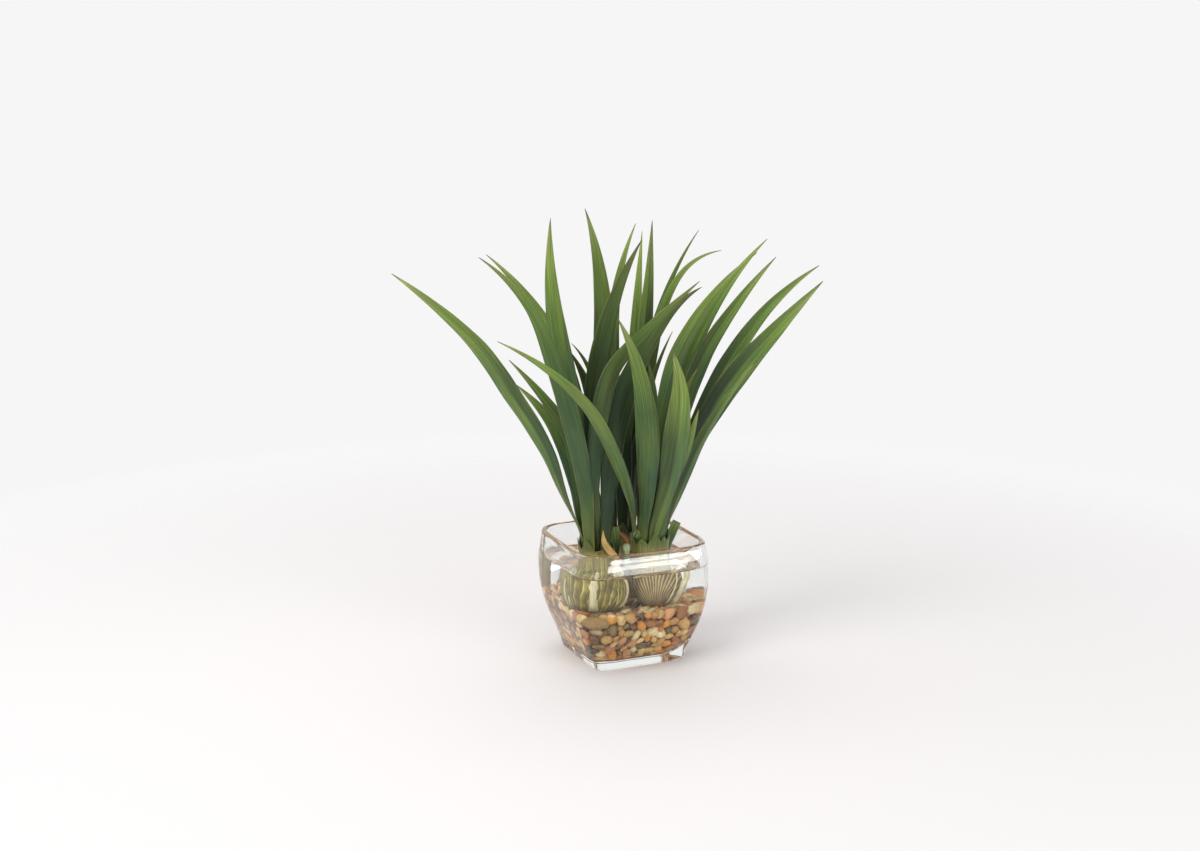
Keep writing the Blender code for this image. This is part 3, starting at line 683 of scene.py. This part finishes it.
def leaf(name, node, bulb, row, tint, seed):
    ring, side, facing, widest, root, peak, points = row
    cx, cy = bulb["at"]
    reach = bulb["rings"][ring]
    c = math.cos(math.radians(side))
    s = math.sin(math.radians(side))
    foot = (cx + reach * c, cy + reach * s, SOCKET_FLOOR + FOOT_RISE)
    reach += NECK_LEAN
    neck = (cx + reach * c, cy + reach * s, SOCKET_FLOOR + NECK_RISE)
    path = smooth_path([foot, neck] + points, LEAF_ROWS)
    along = np.linspace(0, 1, LEAF_ROWS)
    taper = np.clip((along - peak) / (1 - peak), 0, 1) ** TAPER
    widths = (root + (widest - root) * ease(along / peak)) * (1 - taper) + LEAF_TIP * taper
    swing = math.remainder(facing - side - 180, 360)
    if abs(swing) > 90:
        swing -= math.copysign(180, swing)
    facing_at = side + 180 + swing * ease((along - 0.02) / 0.35)
    chance = random.Random(seed)
    wander = 5 * np.sin(along * chance.uniform(4, 7) + chance.uniform(0, 6)) * ease(along / 0.3)
    fold = LEAF_FOLD * chance.uniform(0.7, 1.5)
    if math.sin(math.radians(facing_at[LEAF_ROWS // 2])) > 0:
        # its back is seen, so the painted shade of its left and right halves change places
        tint = (tint[0], tint[1], tint[3], tint[2])
    facing_at = facing_at + wander
    ribbon(name, path, facing_at, widths, fold, LEAF_THICK, LEAF, node, tint, LEAF_CURL, seed)


seed = 1
for side, rows in LEAVES.items():
    for number, row in enumerate(rows, 1):
        node = f"leaf_{side}_{number:02d}"
        seed += 1
        leaf(f"blade_{side}_{number:02d}", node, BULBS[side], row, LEAF_TONE_AND_SHADE[side][number - 1], seed)


STRIP_ROWS = 36
SHEATH_SHAPE = {"fold": 0.1, "curl": 0.35, "thick": 0.6, "tint": (0.5, 0.5, 0, 0)}


def strip(name, node, points, facing, widths, look, slot, seed, fold, curl, thick, tint):
    """A short ribbon that turns from the first facing to the second on its way up."""
    along = np.linspace(0, 1, STRIP_ROWS)
    path = smooth_path(points, STRIP_ROWS)
    spread = np.interp(along, np.linspace(0, 1, len(widths)), widths)
    way = facing[0] + (facing[1] - facing[0]) * ease(along)
    ribbon(name, path, way, spread, fold, thick, look, node, tint, curl, seed)


strip(
    "sheath_tan",
    "dry_sheath_tan",
    [(-5.5, -30.5, 76.4), (-6.3, -32.2, 87), (-10.3, -34.3, 92.3), (-14.0, -35.6, 98), (-14.9, -36, 108.4)],
    facing=(-80, -60), widths=(3.0, 4.6, 5.2, 4.4, 0.4),
    look=TAN, slot="sheath_tan", seed=71, **SHEATH_SHAPE,
)
strip(
    "sheath_rust",
    "dry_sheath_rust",
    [(6.0, -12.4, 76.4), (5.4, -12.6, 88), (4.2, -12.0, 94.0), (0.0, -10.8, 98.6), (-7.4, -10.0, 101.3)],
    facing=(205, 282), widths=(2.5, 3.2, 3.5, 2.9, 0.4),
    look=RUST, slot="sheath_rust", seed=72, **SHEATH_SHAPE,
)
strip(
    "stub_left",
    "cut_stub_left",
    [(-5.0, -18.5, 76.4), (-5.4, -18.2, 90), (-7.6, -16.8, 106.0)],
    facing=(0, -62), widths=(7.0, 9.4, 9.4, 8.8),
    look=LEAF, slot="leaf_dark", seed=73, fold=0.2, curl=0.3, thick=1.0, tint=(0.42, 0.4, 0, 0),
)
strip(
    "stub_right",
    "cut_stub_right",
    [(35.9, -2.2, 76.4), (36.2, -2.0, 90), (42.2, 0.0, 106)],
    facing=(0, -76), widths=(6.5, 8.6, 8.4, 7.0),
    look=LEAF, slot="leaf_green", seed=74, fold=0.2, curl=0.1, thick=0.8, tint=(0.56, 0.5, 0, 0),
)


# Bulbs

BULB_SIDES = 120
BULB_FOOT = 44.0
BULB_HEIGHT = 46.0


def onion(name, node, bulb, leaves, look, seed, lean, root_height):
    """An onion-like bulb whose neck opens into a cup, with a tongue round each leaf's foot.

    Its skin's lines run round an axis that leans forward, in degrees, and passes at root_height.
    """
    body = bulb["body"]
    neck = bulb["neck"]
    outline = [
        (0.8, 44.3), (body * 0.36, 44.9), (body * 0.66, 47.5), (body * 0.90, 52.5),
        (body, 58.5), (body * 0.99, 63.5), (body * 0.90, 69.5), (body * 0.74, 75.0),
        (neck - 0.4, 79.5), (neck, 84.0), (neck + 0.5, 90.0),
    ]
    outer = smooth_path(outline, 56)
    cup = [(neck - 0.1, 90.0), (neck - 0.7, 87.0), (neck - 0.9, 84.2)]
    floor_rows = [(neck - 1.6, 83.8), (neck * 0.5, 83.7), (1.0, 83.7)]
    rows = np.concatenate([outer, cup, floor_rows])
    chance = random.Random(seed)
    phase = [chance.uniform(0, 2 * math.pi) for _ in range(6)]
    angle = angles_round(BULB_SIDES)
    rim = 1.5 + 0.8 * np.cos(3 * angle + phase[1])
    for leaf_ring, leaf_side, *_ in leaves:
        if leaf_ring == 0:
            off = np.abs((angle - math.radians(leaf_side) + math.pi) % (2 * math.pi) - math.pi)
            rim = np.maximum(rim, chance.uniform(6.0, 13.0) * (1 - (off / 0.46) ** 1.15))
    rings = []
    for i, (radius, z) in enumerate(rows):
        lift = ease((z - 82.0) / 8.0) * rim
        swell = 1 + 0.010 * np.cos(2 * angle + phase[2]) + 0.008 * np.cos(3 * angle + phase[3])
        middle = math.exp(-(((z - 60) / 14) ** 2))
        ribs = 0.12 * middle * np.cos(11 * angle + 1.6 * (z - 60) / 16 + phase[4])
        reach = radius * swell + ribs if i < len(outer) else radius * swell
        reach = reach + 0.11 * lift * (radius > neck - 1.5)
        rings.append(np.stack([reach * np.cos(angle), reach * np.sin(angle), z + lift], 1))
    points = np.concatenate(rings)
    c = math.cos(math.radians(lean))
    s = math.sin(math.radians(lean))
    rise = points[:, 2] - root_height
    place = np.stack([points[:, 0], c * points[:, 1] - s * rise, s * points[:, 1] + c * rise], 1)
    points[:, :2] += bulb["at"]
    obj = piece(name, turned(points), tube_faces(len(rows), BULB_SIDES), look, [node])
    attribute(obj, "place", place)
    layer = obj.data.uv_layers.new(name="UVMap")
    tall = (points[:, 2] - BULB_FOOT) / BULB_HEIGHT
    for face in obj.data.polygons:
        steps = [vertex % BULB_SIDES for vertex in face.vertices]
        on_seam = len(steps) == 4 and 0 in steps and BULB_SIDES - 1 in steps
        for loop, vertex, step in zip(face.loop_indices, face.vertices, steps):
            u = 1.0 if on_seam and step == 0 else step / BULB_SIDES
            layer.data[loop].uv = (u, tall[vertex])


for side, look, seed, lean, root_height in (
    ("left", SKIN_LEFT, 81, 18, 60),
    ("right", SKIN_RIGHT, 82, 90, 44),
    ("back", SKIN_BACK, 83, 8, 60),
):
    onion(f"onion_{side}", f"bulb_{side}", BULBS[side], LEAVES[side], look, seed, lean, root_height)


def strand(points, radii, flat, seed):
    """Rings of a root strand, flattened against the bulb: (points, faces, place)."""
    rows = 40
    sides = 14
    path = smooth_path(points, rows)
    radius = np.interp(np.linspace(0, 1, rows), np.linspace(0, 1, len(radii)), radii)
    out = path.copy()
    centre = min((b["at"] for b in BULBS.values()), key=lambda a: math.dist(a, points[1][:2]))
    out[:, :2] -= centre
    out[:, 2] = 0
    side, out = sides_of(path, unit(out))
    angle = angles_round(sides)
    chance = random.Random(seed)
    phase = chance.uniform(0, 6)
    rings = []
    for row in range(rows):
        r = radius[row] * (1 + 0.07 * math.sin(row * 0.9 + phase))
        rings.append(oval(path[row], side[row], out[row], r, flat, angle))
    run = np.repeat(run_along(path), sides)
    place = np.stack([np.tile(np.cos(angle), rows) * 2.5, run, np.full(rows * sides, 11.0 * seed)], 1)
    return np.concatenate(rings), tube_faces(rows, sides), place


def roots(name, strands):
    """Root strands in one piece, each from (points, radii, flatness)."""
    points = []
    faces = []
    places = []
    for number, (path, radii, flat) in enumerate(strands, 1):
        ring_points, ring_faces, place = strand(path, radii, flat, number)
        first = sum(len(p) for p in points)
        faces += [[first + i for i in face] for face in ring_faces]
        points.append(ring_points)
        places.append(place)
    obj = piece(name, turned(np.concatenate(points)), faces, CREAM)
    attribute(obj, "place", np.concatenate(places))


roots(
    "roots_left",
    [
        ([(-19.7, -29, 49), (-20.5, -37.5, 51.5), (-21, -39.2, 59), (-20.8, -37.6, 68), (-20.5, -33.5, 74)],
         (1.3, 1.7, 1.5, 1.9, 1.6), 0.55),
        ([(-11.5, -25.5, 49), (-3.5, -28.0, 53), (-0.8, -26.0, 61), (-3.0, -25.5, 69), (-7.0, -25.0, 72)],
         (1.0, 1.3, 1.2, 1.3, 1.0), 0.9),
        ([(-28, -25, 49), (-36, -28.2, 53), (-38.4, -27.6, 61), (-36, -26.5, 68), (-32, -25, 72)],
         (1.0, 1.3, 1.2, 1.3, 1.0), 0.9),
        ([(-31, -27, 49), (-33.4, -31.9, 53.5), (-33.9, -32.4, 60), (-31.4, -31.8, 68), (-28, -28, 72)],
         (0.6, 0.8, 0.7, 0.8, 0.6), 0.9),
        ([(-12.5, -28.0, 49), (-8.2, -33.6, 54), (-7.0, -34.2, 60), (-9.0, -33.0, 68), (-12.0, -29.0, 72)],
         (0.5, 0.7, 0.6, 0.7, 0.5), 0.9),
        ([(-14.5, -30, 49), (-12.6, -36.4, 54), (-11.8, -37.2, 60), (-13.4, -35.6, 68), (-15, -31, 72)],
         (0.4, 0.55, 0.5, 0.55, 0.4), 0.9),
    ],
)
roots(
    "roots_right",
    [
        ([(30.0, -10.0, 47), (36.5, -14.5, 51), (41.5, -14.2, 60), (45.5, -11.5, 69), (41.0, -6.0, 73.5)],
         (1.8, 2.5, 2.3, 2.7, 1.8), 0.85),
        ([(27.0, -13.5, 49), (32.5, -21.6, 53), (36.8, -19.5, 61.5), (37.5, -14.5, 69), (33.0, -10.0, 73)],
         (0.5, 0.7, 0.65, 0.7, 0.5), 0.9),
    ],
)


# Side shoot: a small pale bud between the front bulbs


def bud():
    lower = [(1.5, 76.3), (2.6, 78.0), (2.4, 82.0), (2.6, 87.0)]
    upper = [(3.4, 90.0), (3.0, 92.6), (1.8, 93.8), (0.4, 94.1)]
    outline = smooth_path(lower + upper, 26)
    sides = 48
    angle = angles_round(sides)
    rings = []
    for radius, z in outline:
        fold = 1 + 0.16 * np.cos(2 * angle + z * 0.25) - 0.30 * np.exp(-(((angle - 4.9) / 0.3) ** 2))
        reach = radius * fold
        rings.append(np.stack([reach * np.cos(angle), reach * np.sin(angle), np.full(sides, z)], 1))
    points = np.concatenate(rings)
    place = np.stack([points[:, 0], points[:, 2], points[:, 1]], 1)
    points[:, :2] += (3.0, -22.0)
    faces = tube_faces(len(outline), sides)
    obj = piece("bud_pale", turned(points), faces, SHOOT, ["side_shoot"])
    attribute(obj, "place", place)


bud()


def cut_stem():
    """A short hollow stem with an open end, beside the right bulb's neck."""
    rows = 18
    path = smooth_path([(15.5, -12, 88), (13.9, -13.4, 94), (12, -15.4, 98.4), (9.9, -18, 100.9)], rows)
    sides = 28
    angle = angles_round(sides)
    side, up = sides_of(path, (0.0, -1.0, 0.0))
    flat = 0.62
    rings = []
    # up the outside, over the rim and three rows down the inside
    for row in list(range(rows)) + [rows - 1, rows - 4]:
        r = 2.9 + 0.25 * math.sin(row * 0.5)
        if len(rings) >= rows:
            r -= 0.8
        rings.append(oval(path[row], side[row], up[row], r, flat, angle))
    points = np.concatenate(rings)
    obj = piece("cut_stem", turned(points), tube_faces(len(rings), sides), STEM)
    off_middle = np.tile(np.cos(angle) * 3, len(rings))
    place = np.stack([off_middle, points[:, 2], np.full(len(points), 5.0)], 1)
    attribute(obj, "place", place)


cut_stem()


# Pebbles, settled by pushing overlapping ones apart inside the vase

# Colours, and how common each is
PEBBLE_COLOURS = [
    ((0.60, 0.355, 0.115), 15), ((0.72, 0.490, 0.200), 13), ((0.44, 0.228, 0.068), 12),
    ((0.66, 0.240, 0.030), 8), ((0.74, 0.300, 0.030), 6), ((0.30, 0.110, 0.030), 8),
    ((0.15, 0.070, 0.022), 10), ((0.20, 0.125, 0.038), 8), ((0.56, 0.270, 0.120), 6),
    ((0.46, 0.170, 0.065), 5), ((0.74, 0.580, 0.300), 6), ((0.08, 0.058, 0.038), 4),
]
STONES = 1080
STONE_SHAPE = (1.28, 1.02, 0.76)
# Radii: mean, spread, smallest, largest
STONE_RADIUS = (3.6, 0.85, 2.2, 5.4)
# Stones deeper than this from the wall, and between these heights, don't show and are left out
HIDDEN_DEPTH = 11.0
HIDDEN_HEIGHTS = (16.0, GRAVEL_TOP - 8.0)
PUSHES = 70
# The olive-brown stone at the front corner: place, half sizes, the room it needs, its turn and its colour
BIG_PLACE = (-39.0, -39.5, 42.3)
BIG_SIZE = (10.4, 5.6, 5.0)
BIG_ROOM = (9.5, 9.5, 6.0)
BIG_TURN = math.radians(-45)
BIG_COLOUR = (0.30, 0.175, 0.050)
# No stone goes nearer to the wall than this, or below or above these heights
WALL_GAP = 0.15
BED_HEIGHTS = (7.45, 48.2)
CORE_SIDES = 96
CORE_INSET = 8.5
# Painted shade: near-black for the shaded gravel deep in the bed, seen in the gaps between pebbles
CORE_SHADE_COLOUR = (0.035, 0.02, 0.01, 1.0)


def wall_distance(p):
    """(distance to the cavity's wall, direction away from the axis) for points on the vase's axes."""
    half, n = level_at(p[:, 2])
    x = np.abs(p[:, 0])
    y = np.abs(p[:, 1])
    s = (x**n + y**n) ** (1 / n)
    gx = (x / s) ** (n - 1) * np.sign(p[:, 0])
    gy = (y / s) ** (n - 1) * np.sign(p[:, 1])
    size = np.hypot(gx, gy)
    out = np.stack([gx / size, gy / size, np.zeros(len(p))], 1)
    return (half - s) / size, out


def settle(count, seed):
    """Places and radii of pebbles near the wall, the floor and the top of the bed."""
    rng = np.random.default_rng(seed)
    mean, deviation, smallest, largest = STONE_RADIUS
    radius = np.clip(rng.normal(mean, deviation, count), smallest, largest)
    low, high = HIDDEN_HEIGHTS
    p = np.zeros((count, 3))
    todo = np.arange(count)
    while len(todo):
        p[todo, 0] = rng.uniform(-52, 52, len(todo))
        p[todo, 1] = rng.uniform(-52, 52, len(todo))
        p[todo, 2] = rng.uniform(9.5, GRAVEL_TOP + 0.5, len(todo))
        gap, _ = wall_distance(p[todo])
        deep = (gap > HIDDEN_DEPTH) & (p[todo, 2] > low) & (p[todo, 2] < high)
        todo = todo[(gap < 1.5) | deep]
    spots = [turned((*b["at"], 0.0)) for b in BULBS.values()]
    for _ in range(PUSHES):
        gap = p[:, None, :] - p[None, :, :]
        far = np.sqrt((gap**2).sum(2)) + 1e-6
        reach = 0.97 * (radius[:, None] + radius[None, :])
        near = (far < reach) & ~np.eye(count, dtype=bool)
        push = np.where(near, (reach - far) / far * 0.35, 0.0)
        p += np.einsum("ij,ijk->ik", push, gap)
        distance, out = wall_distance(p)
        close = 0.85 * radius + 0.25 - distance
        p -= out * np.maximum(close, 0)[:, None]
        p[:, 2] = np.clip(p[:, 2], 7.6 + 0.75 * radius, GRAVEL_TOP + 1.8 - 0.35 * radius)
        for spot, b in zip(spots, BULBS.values()):
            side = p[:, :2] - spot[:2]
            away = np.linalg.norm(side, axis=1) + 1e-6
            keep = b["body"] * np.interp(p[:, 2], [38, 44, 47], [0.0, 0.45, 0.75]) + 0.6 * radius
            keep = np.where(p[:, 2] > 39, keep, 0)
            p[:, :2] += side / away[:, None] * np.maximum(keep - away, 0)[:, None]
    return p, radius


def round_stone():
    """Points and faces of a ball of 80 triangles."""
    mesh = bpy.data.meshes.new("ball")
    shape = bmesh.new()
    bmesh.ops.create_icosphere(shape, subdivisions=2, radius=1.0)
    shape.to_mesh(mesh)
    shape.free()
    points = np.array([v.co for v in mesh.vertices])
    faces = np.array([f.vertices for f in mesh.polygons])
    bpy.data.meshes.remove(mesh)
    return points, faces


def turns(count, rng):
    """Random rotation matrices."""
    q = unit(rng.normal(size=(count, 4)))
    w, x, y, z = q.T
    return np.stack(
        [
            1 - 2 * (y * y + z * z), 2 * (x * y - w * z), 2 * (x * z + w * y),
            2 * (x * y + w * z), 1 - 2 * (x * x + z * z), 2 * (y * z - w * x),
            2 * (x * z - w * y), 2 * (y * z + w * x), 1 - 2 * (x * x + y * y),
        ],
        1,
    ).reshape(count, 3, 3)


def pebbles():
    rng = np.random.default_rng(5)
    place, radius = settle(STONES, 11)
    ball, faces = round_stone()
    count = len(place)
    spin = turns(count, rng)
    shape = np.array(STONE_SHAPE) * rng.uniform(0.88, 1.14, (count, 3))
    bumps = np.array([noise.noise(Vector(p) * 1.3) for p in ball])
    lumps = 1 + 0.10 * rng.normal(size=(count, 1)) * bumps[None, :] * 2
    points = ball[None] * shape[:, None, :] * lumps[:, :, None] * radius[:, None, None]
    points = np.einsum("nij,nkj->nki", spin, points) + place[:, None, :]
    big = ball * np.array(BIG_SIZE)
    c = math.cos(BIG_TURN)
    s = math.sin(BIG_TURN)
    big = np.stack([c * big[:, 0] - s * big[:, 1], s * big[:, 0] + c * big[:, 1], big[:, 2]], 1)
    clear = np.linalg.norm((place - BIG_PLACE) / BIG_ROOM, axis=1) > 1.0
    points = np.concatenate([points[clear], (big + BIG_PLACE)[None]])
    flat = points.reshape(-1, 3)
    distance, out = wall_distance(flat)
    flat -= out * np.maximum(WALL_GAP - distance, 0)[:, None]
    flat[:, 2] = np.clip(flat[:, 2], *BED_HEIGHTS)
    count = len(points)
    all_faces = (faces[None] + np.arange(count)[:, None, None] * len(ball)).reshape(-1, 3)
    obj = piece("gravel_pebbles", flat, all_faces.tolist(), PEBBLE, ["gravel_bed"])
    colours = np.array([colour for colour, _ in PEBBLE_COLOURS])
    shares = np.array([share for _, share in PEBBLE_COLOURS], float)
    pick = rng.choice(len(colours), count, p=shares / shares.sum())
    tint = colours[pick] * rng.uniform(0.8, 1.2, (count, 1))
    tint[-1] = BIG_COLOUR
    tint = np.concatenate([tint, np.ones((count, 1))], 1)
    attribute(obj, "tint", np.repeat(tint, len(ball), 0))


def core():
    """The bed's dark inside, painted shade: a dark body in place of the shaded gravel behind the pebbles
    that show.
    """
    rows = []
    for z in (11.5, 12.5, 20, 28, 36, 39, 39.5):
        half, squareness = level_at(z)
        rows.append((z, half - CORE_INSET, squareness))
    rows = [(11.5, 6.0, 3.0)] + rows + [(39.5, 14.0, 3.0)]
    points = square_rings(rows, CORE_SIDES)
    bumps = np.array([noise.noise(Vector(p) * 0.16) for p in points])
    points[:, :2] *= (1 + 0.04 * bumps)[:, None]
    obj = piece("gravel_core", points, tube_faces(len(rows), CORE_SIDES), PEBBLE)
    attribute(obj, "tint", np.tile(CORE_SHADE_COLOUR, (len(points), 1)))


pebbles()
core()


# Floor, world, lights and camera

FLOOR_HALF = 1200.0
FLOOR_DROP = 0.3


def stage_mesh(name, points, faces, look):
    obj = mesh_object(name, points, faces, look)
    return obj


def aimed(obj, at, target):
    """Puts a lamp or camera at a place of the layout and turns it to another, both in millimetres."""
    obj.location = turned(at) * MM
    obj.rotation_mode = "QUATERNION"
    obj.rotation_quaternion = (Vector(turned(target) * MM) - obj.location).to_track_quat("-Z", "Y")


def floor():
    look = Look("floor_pale")
    spot = look.node("TexCoord").outputs["Object"]
    far = look.node("VectorMath", {"operation": "LENGTH"}, Vector=spot).outputs["Value"]
    seen = look.span(far, 0.25, 0.85, 1.0, 0.0)
    look.surface(Base_Color=(0.80, 0.775, 0.775), Roughness=0.6, Specular_IOR_Level=0.1, Alpha=seen)
    a = FLOOR_HALF
    corners = [(-a, -a, 0), (a, -a, 0), (a, a, 0), (-a, a, 0)]
    obj = stage_mesh("floor", corners, [(0, 1, 2, 3)], look.made)
    obj.location.z = -FLOOR_DROP * MM


floor()

# The backdrop's colour as the camera sees it, and the light that it gives, from straight down to straight up
SKY_SEEN = (0.925, 0.922, 0.922)
SKY_LIGHT = [(0.0, 0.52), (0.47, 0.54), (0.60, 0.39), (0.80, 0.42), (1.0, 0.55)]


def world():
    sky = Look("studio", world=True)
    scene.world = sky.made
    sky.feed(sky.shader.inputs[0], SKY_SEEN)
    height = sky.parts(sky.node("TexCoord").outputs["Generated"])[2]
    stops = [(place, (value, value, value)) for place, value in SKY_LIGHT]
    light = sky.node("Background", Color=sky.ramp(sky.span(height, -1.0, 1.0), stops))
    sky.either(sky.node("LightPath").outputs["Is Diffuse Ray"], sky.shader, light)


world()

LAMP_TARGET = (-5.0, 0.0, 150.0)


def softbox(name, at, size, power, colour=(1, 1, 1)):
    """A flat lamp with its sides in metres, which glass neither mirrors nor shows."""
    lamp = bpy.data.lights.new(name, "AREA")
    lamp.shape = "RECTANGLE"
    lamp.size, lamp.size_y = size
    lamp.energy = power
    lamp.color = colour
    obj = placed(name, lamp)
    aimed(obj, at, LAMP_TARGET)
    obj.visible_glossy = False
    obj.visible_transmission = False


softbox("key_left", (-1100, -900, 1250), (1.0, 1.0), 18, (1.0, 0.995, 0.985))
softbox("fill_right", (1050, -1150, 520), (1.1, 1.0), 9)
softbox("top", (-100, 300, 1500), (1.2, 1.2), 9)


CARD_HEIGHTS = (18, 108)
CARD_REACH = 1200
CARD_STEPS = 24


def card(name, first, last, strength):
    """An upright curved card round the vase, from one azimuth in degrees to another.

    Only rays that glass has mirrored or bent see it.
    """
    look = Look(name)
    look.tree.nodes.remove(look.shader)
    clear = look.node("BsdfTransparent", Color=(1, 1, 1))
    glow = look.node("Emission", Color=(1, 1, 1), Strength=strength)
    look.either(look.node("LightPath").outputs["Is Singular Ray"], clear, glow)
    points = []
    for z in CARD_HEIGHTS:
        for i in range(CARD_STEPS + 1):
            angle = math.radians(first + (last - first) * i / CARD_STEPS)
            points.append((CARD_REACH * math.cos(angle), CARD_REACH * math.sin(angle), z))
    row = CARD_STEPS + 1
    faces = [(i, i + 1, row + i + 1, row + i) for i in range(CARD_STEPS)]
    obj = stage_mesh(name, turned(points), faces, look.made)
    obj.visible_camera = False
    obj.visible_diffuse = False
    obj.visible_shadow = False


card("card_front", -64, -50, 14)
card("card_front_right", -50, -6, 9.8)
card("card_right", -2, 7, 6)

# Camera, solved from the vase's rim and base in the photograph
FOCUS_PX = 1625.2
FRAME_PX = 1200
SENSOR = 36.0
DISTANCE = 1246.2
DIP = math.radians(11.82)
TARGET = (-17.34, 0.0, 181.84)

# Enough for light to cross the glass, the resin and the gaps between the pebbles
BOUNCES = 32
CLEAR_BOUNCES = 24

camera = bpy.data.cameras.new("camera")
camera.sensor_width = SENSOR
camera.sensor_fit = "HORIZONTAL"
camera.lens = FOCUS_PX / FRAME_PX * SENSOR
camera.clip_start = 0.05
viewer = placed("camera", camera)
eye = (TARGET[0], -DISTANCE * math.cos(DIP), TARGET[2] + DISTANCE * math.sin(DIP))
aimed(viewer, eye, TARGET)
scene.camera = viewer

scene.view_settings.view_transform = "Standard"
scene.view_settings.look = "None"
scene.cycles.max_bounces = BOUNCES
scene.cycles.glossy_bounces = BOUNCES
scene.cycles.transmission_bounces = BOUNCES
scene.cycles.transparent_max_bounces = CLEAR_BOUNCES

bpy.context.view_layer.update()
